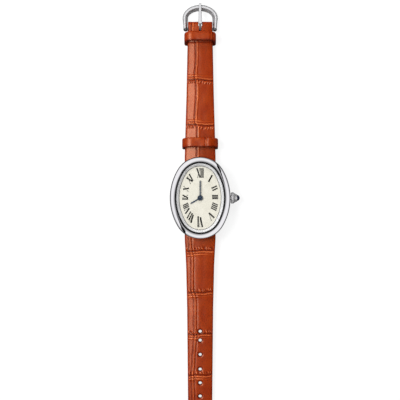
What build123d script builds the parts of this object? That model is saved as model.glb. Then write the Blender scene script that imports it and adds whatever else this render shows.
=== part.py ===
from build123d import *
import os
from math import atan2, cos, degrees, hypot, pi, radians, sin, sqrt

# A small oval dress watch on a two-piece leather strap, laid out flat with its dial up.
# The origin is the middle of the case back's flat face. +Y runs to twelve o'clock and the buckle,
# +X to the crown, and +Z out of the dial. All sizes are in millimetres.

# Fits
slip = 0.05
running = 0.03
overrun = 2.0

# Case outline, an oval of four arcs
case_half_width = 11.8
case_half_length = 16.0
case_end_step = 1.6

# Middle case
middle_inset = 0.35
middle_bottom = 0.4
middle_top = 4.5
middle_edge = 0.45
cavity_inset = 2.0
cavity_half_length = 9.6
notch_side_gap = 0.12
notch_depth_y = 10.5
notch_roof = 4.0

# Case back, its gasket and its screws
back_thickness = 0.8
back_inset = 0.9
back_notch_width = 12.8
back_notch_y = 10.2
back_gasket_inset = 1.7
back_gasket_half_length = 9.9
back_gasket_height = 0.35
back_screw_x = 7.15
back_screw_y = 10.35
back_screw_head_radius = 0.55
back_screw_head_height = 0.3
back_screw_radius = 0.32
back_screw_length = 1.7

# Bezel, crystal and the ring between crystal and dial
bezel_top = 7.0
bezel_shoulder = 5.1
bezel_crest_inset = 1.05
bezel_inner_top = 6.55
crystal_hole_inset = 2.0
crystal_seat = 5.9
dial_hole_inset = 2.5
crystal_gasket_width = 0.2
crystal_gasket_height = 0.5
crystal_edge_top = 6.6
crystal_top = 7.4
crystal_thickness = 0.95
crystal_rim = 0.8
flange_inset = 3.3
flange_lip = 0.3
flange_foot = 0.2

# Dial
dial_thickness = 0.4
dial_centre_hole_radius = 0.7
dial_foot_radius = 0.35
dial_foot_length = 0.7
dial_foot_x = 5.6
dial_foot_y = 7.0
dial_washer_thickness = 0.06

# Hands
hour_hand_length = 4.45
hour_hand_width = 0.5
hour_hand_tail = 0.9
hour_hub_radius = 1.05
hour_hand_thickness = 0.14
hour_hand_height = 0.17
hour_hand_angle = 240
minute_hand_length = 6.95
minute_hand_width = 0.48
minute_hand_tail = 0.9
minute_hub_radius = 1.0
minute_hand_thickness = 0.12
minute_hand_gap = 0.18
hand_waist_width = 0.42
hand_belly_share = 0.92
hub_cap_radius = 0.42
hub_cap_rise = 0.14
hub_cone_rise = 0.13
hub_cone_slope = 60

# Stem, crown and crown tube
stem_height = 3.0
stem_radius = 0.45
stem_pilot_radius = 0.2
stem_square = 0.5
stem_start = 2.2
stem_square_start = 3.2
stem_square_end = 5.6
stem_groove_radius = 0.22
stem_groove_width = 0.5
stem_grip = 0.45
crown_travel = 1.0
tube_radius = 0.8
tube_bore_radius = 0.5
tube_stand = 1.8
crown_gap = 0.15
crown_length = 2.4
crown_face_radius = 1.95
crown_radius = 2.25
crown_bevel = 0.35
crown_barrel = 0.95
crown_neck_radius = 1.42
crown_waist_radius = 1.72
crown_lip = 0.1
crown_gasket_radius = 1.15
crown_gasket_length = 0.5
flute_count = 20
flute_radius = 0.17
cabochon_radius = 1.18
cabochon_rise = 1.1
cabochon_seat = 0.2

# Spring bars
bar_y = 12.25
bar_height = 2.35
bar_tube_radius = 0.75
bar_tip_radius = 0.4
bar_tip_depth = 0.8
bar_shoulder_gap = 0.12
bar_tip_inside = 1.6

# Movement plate and holder
movement_width = 15.3
movement_length = 17.8
movement_corner = 1.0
plate_bottom = 2.1
plate_deck = 3.7
holder_bottom = 0.85
bridge_bottom = 1.05
bridge_thickness = 0.3
bridge_width = 1.5
bridge_screw_head_radius = 0.4
bridge_screw_radius = 0.2
bridge_screw_slot = 0.12
bridge_screw_head_height = 0.15
bridge_screw_length = 1.95
bridge_feet = ((-6.3, 0.4), (3.6, 2.6))
board_feet = ((1.3, -4.4), (6.2, -4.4))
board_foot_radius = 0.45

# Going train
train_module = 0.07
centre_module = 0.09
intermediate_teeth = 60
rotor_leaves = 6
centre_teeth = 54
intermediate_leaves = 6
intermediate_angle = 126.87
rotor_angle = 154.1
wheel_thickness = 0.15
arbor_radius = 0.2
pivot_radius = 0.1
pivot_start = 1.12
pivot_end = 2.6
intermediate_wheel_bottom = 1.5
centre_wheel_bottom = 1.8
rotor_magnet_radius = 0.6
rotor_magnet_height = 0.4

# Motion works under the dial
motion_module = 0.1
cannon_leaves = 10
minute_wheel_teeth = 30
minute_pinion_leaves = 8
hour_wheel_teeth = 32
setting_teeth = 18
minute_wheel_angle = -53.13
setting_wheel_angle = 33.0
motion_gap = 0.05
motion_wheel_thickness = 0.2
minute_pinion_height = 0.3
hour_pipe_radius = 0.55
cannon_radius = 0.33
post_radius = 0.2

# Clutch wheel and setting lever
clutch_start = 4.3
clutch_length = 1.0
clutch_radius = 0.95
clutch_teeth = 12
clutch_room = 0.15
lever_pivot_x = 6.7
lever_pivot_y = 2.8
lever_reach = 2.35
lever_width = 0.9
lever_thickness = 0.2
lever_pin_radius = 0.2
lever_pin_bottom = 2.9
lever_room_x = 7.75
lever_room_y = 3.6

# Electric parts
battery_radius = 3.4
battery_height = 2.15
battery_x = -3.6
battery_y = -4.9
battery_bottom = 1.05
battery_cap_radius = 2.9
battery_cap_height = 0.25
clamp_thickness = 0.15
clamp_width = 1.6
coil_radius = 0.95
coil_half_length = 4.6
coil_y = 7.2
core_half_length = 6.3
core_width = 1.1
core_thickness = 0.35
stator_bar_y = 5.0
stator_bar_width = 1.2
stator_pad_radius = 1.25
stator_hole_radius = 0.78
board_x = 0.6
board_y = -8.2
board_width = 6.4
board_length = 5.0
board_thickness = 0.2
chip_size = 1.7
chip_height = 0.5
chip_x = 3.6
chip_y = -4.6
quartz_radius = 0.75
quartz_length = 5.0
quartz_x = 1.4
quartz_y = -7.0

# Strap
strap_width_case = 12.06
eye_radius = 1.45
upper_edge_bevel = 0.65
lining_thickness = 0.5
lining_start = 4.0
tail_hole_radius = 0.75
long_strap_reach = 111.0
long_width_knee = 11.0
long_knee_y = 26.0
long_width_middle = 10.2
long_middle_y = 43.0
long_width_end = 9.4
long_width_end_y = 84.0
tip_start_y = 104.0
long_top_case = 3.75
long_top_middle = 2.9
long_top_end = 2.0
long_lie_down_y = 26.0
strap_hole_places = (52.2, 55.7, 61.3, 67.0, 72.4, 77.6, 83.1, 88.6)
fold_reach = 2.96
short_underside = 1.0
short_top_case = 3.75
short_top_middle = 3.35
short_top_end = 3.1
short_middle_y = 40.0
short_width_knee = 11.7
short_knee_y = 23.0
short_width_middle = 10.7
short_width_end = 9.5
fold_height = 2.1

# Loops
loop_wall = 0.85
fixed_loop_setback = 4.72
fixed_loop_width = 3.6
fixed_loop_side_gap = 0.6
fixed_loop_tail_room = 2.1
free_loop_start = 19.8
free_loop_width = 3.7
free_loop_side_gap = 0.145
free_loop_tail_room = 1.9
free_loop_play = 0.1
loop_corner = 0.25

# Buckle
buckle_bar_y = 66.0
buckle_bar_height = 1.95
buckle_bar_radius = 0.55
knob_radius = 0.85
arm_gap = 0.245
arm_width = 1.45
arm_length = 4.4
arm_flare = 0.455
arch_width = 2.1
arch_rise = 5.3
arch_depth = 2.35
buckle_bottom = 0.05
arch_top = 2.2
tang_width = 1.3
tang_neck_width = 0.7
tang_blade_setback = 1.06
tang_eye_radius = 0.9
tang_thickness = 0.7
tang_overhang = 0.5
tang_side_gap = 0.05
tang_slot_depth = 4.06
tang_wide_slot_depth = 1.76
tang_step = 0.25

# Places worked out from the sizes above
case_end_radius = case_half_width - case_end_step
end_centre = case_half_length - case_end_radius
side_centre = (end_centre**2 - case_end_step**2) / (2 * case_end_step)
side_radius = case_half_width + side_centre
joint_angle = degrees(atan2(end_centre, side_centre))
notch_width = strap_width_case + 2 * notch_side_gap
dial_top = middle_top + dial_thickness
clutch_end = clutch_start + clutch_length
tube_start = case_half_width - cavity_inset + slip
tube_end = case_half_width + tube_stand
crown_start = case_half_width + crown_gap
crown_end = crown_start + crown_length
crown_bore_end = tube_end + 2 * slip
crown_gasket_start = crown_start + crown_lip
cabochon_end = crown_end + cabochon_rise
stem_end = crown_bore_end + stem_grip
short_strap_end = buckle_bar_y + fold_reach
tang_slot_start = short_strap_end - tang_slot_depth
wide_slot_start = short_strap_end - tang_wide_slot_depth
fixed_loop_start = buckle_bar_y - fixed_loop_setback
fixed_loop_inner = short_width_end + 2 * fixed_loop_side_gap
free_loop_inner = strap_width_case + 2 * free_loop_side_gap
knob_x = short_width_end / 2 + arm_gap + arm_width / 2
buckle_outer_width = 2 * knob_x + arm_width + 2 * arm_flare
arch_start_y = buckle_bar_y + arm_length
buckle_end_y = arch_start_y + arch_rise
tang_reach = buckle_end_y + tang_overhang
stem_axis = Axis((0, 0, stem_height), (1, 0, 0))
stem_cut = Plane(origin=(0, 0, stem_height), x_dir=(1, 0, 0), z_dir=(0, -1, 0))


def oval(inset, mode=Mode.ADD):
    """The case's oval, drawn in by an inset all round, added to the sketch being made."""
    with BuildLine() as outline:
        CenterArc((-side_centre, 0), side_radius - inset, -joint_angle, 2 * joint_angle)
        CenterArc((0, end_centre), case_end_radius - inset, joint_angle, 180 - 2 * joint_angle)
        CenterArc((side_centre, 0), side_radius - inset, 180 - joint_angle, 2 * joint_angle)
        CenterArc((0, -end_centre), case_end_radius - inset, joint_angle - 180, 180 - 2 * joint_angle)
    make_face(outline.edges(), mode=mode)


def across(start):
    """The plane square to the stem at one distance from the middle of the watch."""
    return Plane(origin=(start, 0, stem_height), x_dir=(0, 1, 0), z_dir=(1, 0, 0))


def polar(radius, angle):
    """A point at a distance and an angle from the middle."""
    return radius * cos(radians(angle)), radius * sin(radians(angle))


def level(height, at=(0, 0)):
    """The flat plane at one height, with its origin over one place."""
    return Plane(origin=(at[0], at[1], height))


def gear_points(teeth, module, phase):
    """Corners round a toothed wheel: each tooth stands on two root points and ends in two tip points."""
    pitch_radius = teeth * module / 2
    root_radius = pitch_radius - 1.25 * module
    tip_radius = pitch_radius + 0.85 * module
    step = 360 / teeth
    root_share = 0.29
    tip_share = 0.11
    points = []
    for tooth in range(teeth):
        middle = phase + tooth * step
        points.append(polar(root_radius, middle - root_share * step))
        points.append(polar(tip_radius, middle - tip_share * step))
        points.append(polar(tip_radius, middle + tip_share * step))
        points.append(polar(root_radius, middle + root_share * step))
    return points


def gear(teeth, module, phase):
    """A toothed wheel's face, added to the sketch being made."""
    with BuildLine() as outline:
        Polyline(*gear_points(teeth, module, phase), close=True)
    make_face(outline.edges())


def tube_of(radius, bore, start, height, at=(0, 0)):
    """An upright tube, added to the part being made. A bore of zero gives a solid pin."""
    with BuildSketch(Plane.XY.offset(start)) as ring:
        with Locations(at):
            Circle(radius)
            if bore:
                Circle(bore, mode=Mode.SUBTRACT)
    extrude(ring.sketch, amount=height)


def round_cut(radius, start, height, at=(0, 0)):
    """An upright round hole, cut from the part being made."""
    with BuildSketch(Plane.XY.offset(start)) as disc:
        with Locations(at):
            Circle(radius)
    extrude(disc.sketch, amount=height, mode=Mode.SUBTRACT)


def box_between(low, high, mode=Mode.ADD):
    """A block between two corners, added to or cut from the part being made."""
    middle = [(a + b) / 2 for a, b in zip(low, high)]
    size = [b - a for a, b in zip(low, high)]
    with Locations(tuple(middle)):
        Box(*size, mode=mode)


def save(part, label):
    """Names a finished piece and writes it out."""
    part.label = label
    export_step(part, "parts/" + label + ".step")


os.makedirs("parts", exist_ok=True)

# Middle case: carries everything, open through its middle for the movement,
# and notched at both ends for the strap
with BuildPart() as middle_case:
    with BuildSketch(Plane.XY.offset(middle_bottom)):
        oval(middle_inset)
    extrude(amount=middle_top - middle_bottom)
    chamfer(middle_case.faces().sort_by(Axis.Z)[0].edges(), middle_edge)
    with BuildSketch(Plane.XY.offset(middle_bottom)):
        oval(cavity_inset)
        Rectangle(2 * case_half_width, 2 * cavity_half_length, mode=Mode.INTERSECT)
    extrude(amount=middle_top - middle_bottom, mode=Mode.SUBTRACT)
    with BuildSketch(Plane.XY.offset(back_thickness)):
        oval(back_inset - slip)
        Rectangle(back_notch_width - 2 * slip, 2 * case_half_length, mode=Mode.SUBTRACT)
        Rectangle(2 * case_half_width, 2 * (back_notch_y + slip))
        oval(back_inset - slip, mode=Mode.INTERSECT)
    extrude(amount=middle_bottom - back_thickness, mode=Mode.SUBTRACT)
    with BuildSketch(Plane.XY.offset(back_thickness)):
        oval(back_gasket_inset)
        Rectangle(2 * case_half_width, 2 * back_gasket_half_length, mode=Mode.INTERSECT)
    extrude(amount=back_gasket_height, mode=Mode.SUBTRACT)
    for side in (-1, 1):
        far = side * (case_half_length + overrun)
        near = side * notch_depth_y
        low = (-notch_width / 2, min(near, far), middle_bottom - overrun)
        high = (notch_width / 2, max(near, far), notch_roof)
        box_between(low, high, mode=Mode.SUBTRACT)
        with BuildSketch(Plane(origin=(0, side * bar_y, bar_height), z_dir=(1, 0, 0))):
            Circle(bar_tip_radius + slip)
        extrude(amount=notch_width / 2 + bar_tip_depth + slip, both=True, mode=Mode.SUBTRACT)
    with BuildSketch(across(tube_start - overrun)):
        Circle(tube_radius)
    extrude(amount=case_half_width - tube_start + 2 * overrun, mode=Mode.SUBTRACT)
    with BuildSketch(Plane.XY.offset(middle_bottom)):
        with GridLocations(2 * back_screw_x, 2 * back_screw_y, 2, 2):
            Circle(back_screw_radius)
    extrude(amount=back_screw_head_height + back_screw_length - middle_bottom + slip, mode=Mode.SUBTRACT)
save(middle_case.part, "middle_case")

# Case back: a flat plate let into the underside of the middle case, with a corner beside each strap notch
with BuildPart() as case_back:
    with BuildSketch():
        oval(back_inset)
        Rectangle(back_notch_width, 2 * case_half_length, mode=Mode.SUBTRACT)
        Rectangle(2 * case_half_width, 2 * back_notch_y)
        oval(back_inset, mode=Mode.INTERSECT)
    extrude(amount=back_thickness)
    with GridLocations(2 * back_screw_x, 2 * back_screw_y, 2, 2):
        Cylinder(back_screw_head_radius + slip, 2 * back_screw_head_height, mode=Mode.SUBTRACT)
        Cylinder(back_screw_radius + slip, 2 * back_thickness + overrun, mode=Mode.SUBTRACT)
save(case_back.part, "case_back")

# Case back gasket: a flat ring in the middle case's rebate, pressed by the back
with BuildPart() as back_gasket:
    with BuildSketch(Plane.XY.offset(back_thickness)):
        oval(back_gasket_inset)
        Rectangle(2 * case_half_width, 2 * back_gasket_half_length, mode=Mode.INTERSECT)
    extrude(amount=back_gasket_height)
    with BuildSketch(Plane.XY.offset(back_thickness)):
        oval(cavity_inset)
        Rectangle(2 * case_half_width, 2 * cavity_half_length, mode=Mode.INTERSECT)
    extrude(amount=back_gasket_height, mode=Mode.SUBTRACT)
save(back_gasket.part, "case_back_gasket")

# Case back screws: four slotted screws, heads sunk in the back's corners
with BuildPart() as back_screws:
    with BuildSketch():
        with GridLocations(2 * back_screw_x, 2 * back_screw_y, 2, 2):
            Circle(back_screw_head_radius)
    extrude(amount=back_screw_head_height)
    with BuildSketch(Plane.XY.offset(back_screw_head_height)):
        with GridLocations(2 * back_screw_x, 2 * back_screw_y, 2, 2):
            Circle(back_screw_radius)
    extrude(amount=back_screw_length)
    with GridLocations(2 * back_screw_x, 2 * back_screw_y, 2, 2):
        Box(2 * back_screw_head_radius, bridge_screw_slot, back_screw_head_height, mode=Mode.SUBTRACT)
save(back_screws.part, "case_back_screws")

# Bezel: a domed ring on the middle case, one profile turned round each of the oval's four centres
oval_turns = (
    ((-side_centre, 0), side_radius, -joint_angle, 2 * joint_angle),
    ((0, end_centre), case_end_radius, joint_angle, 180 - 2 * joint_angle),
    ((side_centre, 0), side_radius, 180 - joint_angle, 2 * joint_angle),
    ((0, -end_centre), case_end_radius, 180 + joint_angle, 180 - 2 * joint_angle),
)
with BuildPart() as bezel:
    for (centre_x, centre_y), radius, start, turn in oval_turns:
        outward = (cos(radians(start)), sin(radians(start)), 0)
        sideways = (sin(radians(start)), -cos(radians(start)), 0)
        with BuildSketch(Plane(origin=(centre_x, centre_y, 0), x_dir=outward, z_dir=sideways)):
            with BuildLine():
                foot = (radius - middle_inset, middle_top)
                shoulder = (radius, bezel_shoulder)
                rim = (radius, bezel_top - bezel_crest_inset)
                crest = (radius - bezel_crest_inset, bezel_top)
                brink = (radius - crystal_hole_inset, bezel_inner_top)
                ledge = (radius - crystal_hole_inset, crystal_seat)
                lip = (radius - dial_hole_inset, crystal_seat)
                heel = (radius - dial_hole_inset, middle_top)
                Polyline(foot, shoulder, rim)
                TangentArc(rim, crest, tangent=(0, 1))
                TangentArc(crest, brink, tangent=(-1, 0))
                Polyline(brink, ledge, lip, heel, foot)
            make_face()
        revolve(axis=Axis((centre_x, centre_y, 0), (0, 0, 1)), revolution_arc=turn)
save(bezel.part, "bezel")

# Crystal gasket: a thin ring between the bezel's wall and the crystal's edge
with BuildPart() as crystal_gasket:
    with BuildSketch(Plane.XY.offset(crystal_seat)):
        oval(crystal_hole_inset)
        oval(crystal_hole_inset + crystal_gasket_width, mode=Mode.SUBTRACT)
    extrude(amount=crystal_gasket_height)
save(crystal_gasket.part, "crystal_gasket")


def crystal_dome(top, edge, edge_inset):
    """A round-backed solid that falls from its top to its edge height at the given inset."""
    half_width = case_half_width - edge_inset
    half_length = case_half_length - edge_inset
    rise = top - edge
    width_radius = (half_width**2 + rise**2) / (2 * rise)
    length_radius = (half_length**2 + rise**2) / (2 * rise)
    reach = half_length + overrun
    reach_top = top - length_radius + sqrt(length_radius**2 - reach**2)
    with BuildPart(mode=Mode.PRIVATE) as dome:
        with BuildSketch(Plane.YZ) as lengthwise:
            with BuildLine() as outline:
                ThreePointArc((-reach, reach_top), (0, top), (reach, reach_top))
                Polyline((reach, reach_top), (reach, top - width_radius), (-reach, top - width_radius),
                         (-reach, reach_top))
            make_face(outline.edges())
        revolve(lengthwise.sketch, axis=Axis((0, 0, top - width_radius), (0, 1, 0)))
    return dome.part


# Crystal: domed outside and hollowed underneath, standing on the bezel's ledge
crystal_inset = crystal_hole_inset + crystal_gasket_width
with BuildPart() as crystal:
    with BuildSketch(Plane.XY.offset(crystal_seat)):
        oval(crystal_inset)
    extrude(amount=crystal_top - crystal_seat + slip)
    add(crystal_dome(crystal_top, crystal_edge_top, crystal_inset), mode=Mode.INTERSECT)
    add(
        crystal_dome(crystal_top - crystal_thickness, crystal_seat, crystal_inset + crystal_rim),
        mode=Mode.SUBTRACT,
    )
save(crystal.part, "crystal")

# Flange ring: the sloping ring between the dial and the crystal
with BuildPart() as flange:
    with BuildSketch(Plane.XY.offset(dial_top)):
        oval(dial_hole_inset + slip)
        oval(flange_inset, mode=Mode.SUBTRACT)
    extrude(amount=flange_foot)
    with BuildSketch(Plane.XY.offset(dial_top + flange_foot)):
        oval(dial_hole_inset + slip)
    extrude(amount=crystal_seat - dial_top - flange_foot)
    with BuildSketch(Plane.XY.offset(dial_top + flange_foot)):
        oval(flange_inset)
    with BuildSketch(Plane.XY.offset(crystal_seat)):
        oval(dial_hole_inset + flange_lip)
    loft(mode=Mode.SUBTRACT)
save(flange.part, "flange_ring")

# Dial: an oval plate on the middle case and the movement, with two feet in the main plate
with BuildPart() as dial:
    with BuildSketch(Plane.XY.offset(middle_top)):
        oval(dial_hole_inset + slip)
        Circle(dial_centre_hole_radius, mode=Mode.SUBTRACT)
    extrude(amount=dial_thickness)
    with BuildSketch(Plane.XY.offset(middle_top)):
        with Locations((-dial_foot_x, dial_foot_y), (dial_foot_x, -dial_foot_y)):
            Circle(dial_foot_radius)
    extrude(amount=-dial_foot_length)
save(dial.part, "dial")

# Hands: flat blued steel with pointed blades, pressed on the hour pipe and on the cannon pinion
hour_hand_bottom = dial_top + hour_hand_height
minute_hand_bottom = hour_hand_bottom + hour_hand_thickness + minute_hand_gap


def hand_points(length, width, tail):
    """Corners of a slim baton hand with a short point, pointing up the page."""
    return [
        (0, -tail),
        (hand_waist_width / 2, -tail / 2),
        (hand_waist_width / 2, 0),
        (width / 2, length * hand_belly_share),
        (0, length),
        (-width / 2, length * hand_belly_share),
        (-hand_waist_width / 2, 0),
        (-hand_waist_width / 2, -tail / 2),
    ]


with BuildPart() as hour_hand:
    with BuildSketch(Plane.XY.offset(hour_hand_bottom).rotated((0, 0, -hour_hand_angle))):
        with BuildLine():
            Polyline(*hand_points(hour_hand_length, hour_hand_width, hour_hand_tail), close=True)
        make_face()
        Circle(hour_hub_radius)
        Circle(hour_pipe_radius, mode=Mode.SUBTRACT)
    extrude(amount=hour_hand_thickness)
save(hour_hand.part, "hour_hand")

with BuildPart() as minute_hand:
    with BuildSketch(Plane.XY.offset(minute_hand_bottom)):
        with BuildLine():
            Polyline(*hand_points(minute_hand_length, minute_hand_width, minute_hand_tail), close=True)
        make_face()
        Circle(minute_hub_radius)
        Circle(cannon_radius, mode=Mode.SUBTRACT)
    extrude(amount=minute_hand_thickness)
    with BuildSketch(Plane.XY.offset(minute_hand_bottom + minute_hand_thickness)):
        Circle(minute_hub_radius)
        Circle(cannon_radius, mode=Mode.SUBTRACT)
    extrude(amount=hub_cone_rise, taper=hub_cone_slope)
save(minute_hand.part, "minute_hand")

# Places of the wheels, each from the wheel that it meshes with
intermediate_reach = (centre_teeth + intermediate_leaves) * centre_module / 2
intermediate_at = polar(intermediate_reach, intermediate_angle)
rotor_reach = (intermediate_teeth + rotor_leaves) * train_module / 2
rotor_step = polar(rotor_reach, rotor_angle)
rotor_at = (intermediate_at[0] + rotor_step[0], intermediate_at[1] + rotor_step[1])
minute_wheel_at = polar((cannon_leaves + minute_wheel_teeth) * motion_module / 2, minute_wheel_angle)
setting_step = polar((minute_wheel_teeth + setting_teeth) * motion_module / 2, setting_wheel_angle)
setting_at = (minute_wheel_at[0] + setting_step[0], minute_wheel_at[1] + setting_step[1])
motion_bottom = plate_deck + motion_gap
hour_wheel_bottom = motion_bottom + motion_wheel_thickness + motion_gap
minute_hand_top = minute_hand_bottom + minute_hand_thickness


def gap_phase(teeth, towards):
    """The phase that puts the gap between two teeth in one direction."""
    return towards + 180 / teeth


# Centre wheel: turns once an hour, its arbor reaching up inside the cannon pinion
with BuildPart() as centre_wheel:
    with BuildSketch(Plane.XY.offset(centre_wheel_bottom)):
        gear(centre_teeth, centre_module, gap_phase(centre_teeth, intermediate_angle))
    extrude(amount=wheel_thickness)
    tube_of(arbor_radius, 0, centre_wheel_bottom, minute_hand_bottom - centre_wheel_bottom)
    tube_of(pivot_radius, 0, pivot_start, centre_wheel_bottom - pivot_start)
save(centre_wheel.part, "centre_wheel")

# Cannon pinion: a leaved tube that grips the centre arbor and carries the minute hand
with BuildPart() as cannon_pinion:
    with BuildSketch(Plane.XY.offset(motion_bottom)):
        gear(cannon_leaves, motion_module, minute_wheel_angle)
    extrude(amount=motion_wheel_thickness)
    tube_of(cannon_radius, 0, motion_bottom, minute_hand_top - motion_bottom)
    round_cut(arbor_radius, motion_bottom, minute_hand_bottom - motion_bottom)
    with BuildSketch(Plane.XY.offset(minute_hand_top)):
        Circle(hub_cap_radius)
    extrude(amount=hub_cap_rise, taper=30)
save(cannon_pinion.part, "cannon_pinion")

# Intermediate wheel and pinion on one arbor
with BuildPart() as intermediate_wheel:
    with BuildSketch(level(intermediate_wheel_bottom, intermediate_at)):
        gear(intermediate_teeth, train_module, gap_phase(intermediate_teeth, rotor_angle))
    extrude(amount=wheel_thickness)
    with BuildSketch(level(intermediate_wheel_bottom, intermediate_at)):
        gear(intermediate_leaves, centre_module, intermediate_angle + 180)
    extrude(amount=plate_bottom - slip - intermediate_wheel_bottom)
    tube_of(pivot_radius, 0, pivot_start, pivot_end - pivot_start, intermediate_at)
save(intermediate_wheel.part, "intermediate_wheel")

# Rotor: a small magnet on a pinion, turned by the stator's field
with BuildPart() as rotor:
    with BuildSketch(level(intermediate_wheel_bottom - slip, rotor_at)):
        gear(rotor_leaves, train_module, rotor_angle + 180)
    extrude(amount=plate_bottom - intermediate_wheel_bottom + slip)
    tube_of(rotor_magnet_radius, 0, plate_bottom, rotor_magnet_height, rotor_at)
    tube_of(pivot_radius, 0, pivot_start, pivot_end + rotor_magnet_height - pivot_start, rotor_at)
save(rotor.part, "rotor")

# Minute wheel and pinion, turning on a post of the main plate
with BuildPart() as minute_wheel:
    with BuildSketch(level(motion_bottom, minute_wheel_at)):
        gear(minute_wheel_teeth, motion_module, gap_phase(minute_wheel_teeth, minute_wheel_angle + 180))
    extrude(amount=motion_wheel_thickness)
    with BuildSketch(level(motion_bottom, minute_wheel_at)):
        gear(minute_pinion_leaves, motion_module, minute_wheel_angle + 180)
    extrude(amount=motion_wheel_thickness + minute_pinion_height)
    round_cut(post_radius + running, motion_bottom, minute_pinion_height * 2, minute_wheel_at)
save(minute_wheel.part, "minute_wheel")

# Hour wheel: its pipe runs on the cannon pinion and carries the hour hand
with BuildPart() as hour_wheel:
    with BuildSketch(Plane.XY.offset(hour_wheel_bottom)):
        gear(hour_wheel_teeth, motion_module, gap_phase(hour_wheel_teeth, minute_wheel_angle))
    extrude(amount=motion_wheel_thickness)
    hour_pipe_top = hour_hand_bottom + hour_hand_thickness
    tube_of(hour_pipe_radius, 0, hour_wheel_bottom, hour_pipe_top - hour_wheel_bottom)
    round_cut(cannon_radius + running, hour_wheel_bottom, hour_pipe_top - hour_wheel_bottom)
save(hour_wheel.part, "hour_wheel")

# Dial washer: a thin foil ring that keeps the hour wheel down on its seat
washer_bottom = middle_top - dial_washer_thickness
with BuildPart() as dial_washer:
    tube_of(2 * hour_pipe_radius, hour_pipe_radius + slip, washer_bottom, dial_washer_thickness)
save(dial_washer.part, "dial_washer")

# Setting wheel: joins the minute wheel to the clutch wheel when the crown is pulled out
with BuildPart() as setting_wheel:
    minute_phase = gap_phase(minute_wheel_teeth, minute_wheel_angle + 180)
    lead_share = (setting_wheel_angle - minute_phase) * minute_wheel_teeth / 360 % 1
    setting_phase = setting_wheel_angle + 180 + (lead_share + 0.5) * 360 / setting_teeth
    with BuildSketch(level(motion_bottom, setting_at)):
        gear(setting_teeth, motion_module, setting_phase)
    extrude(amount=motion_wheel_thickness)
    round_cut(post_radius + running, motion_bottom, motion_wheel_thickness, setting_at)
save(setting_wheel.part, "setting_wheel")

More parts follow.
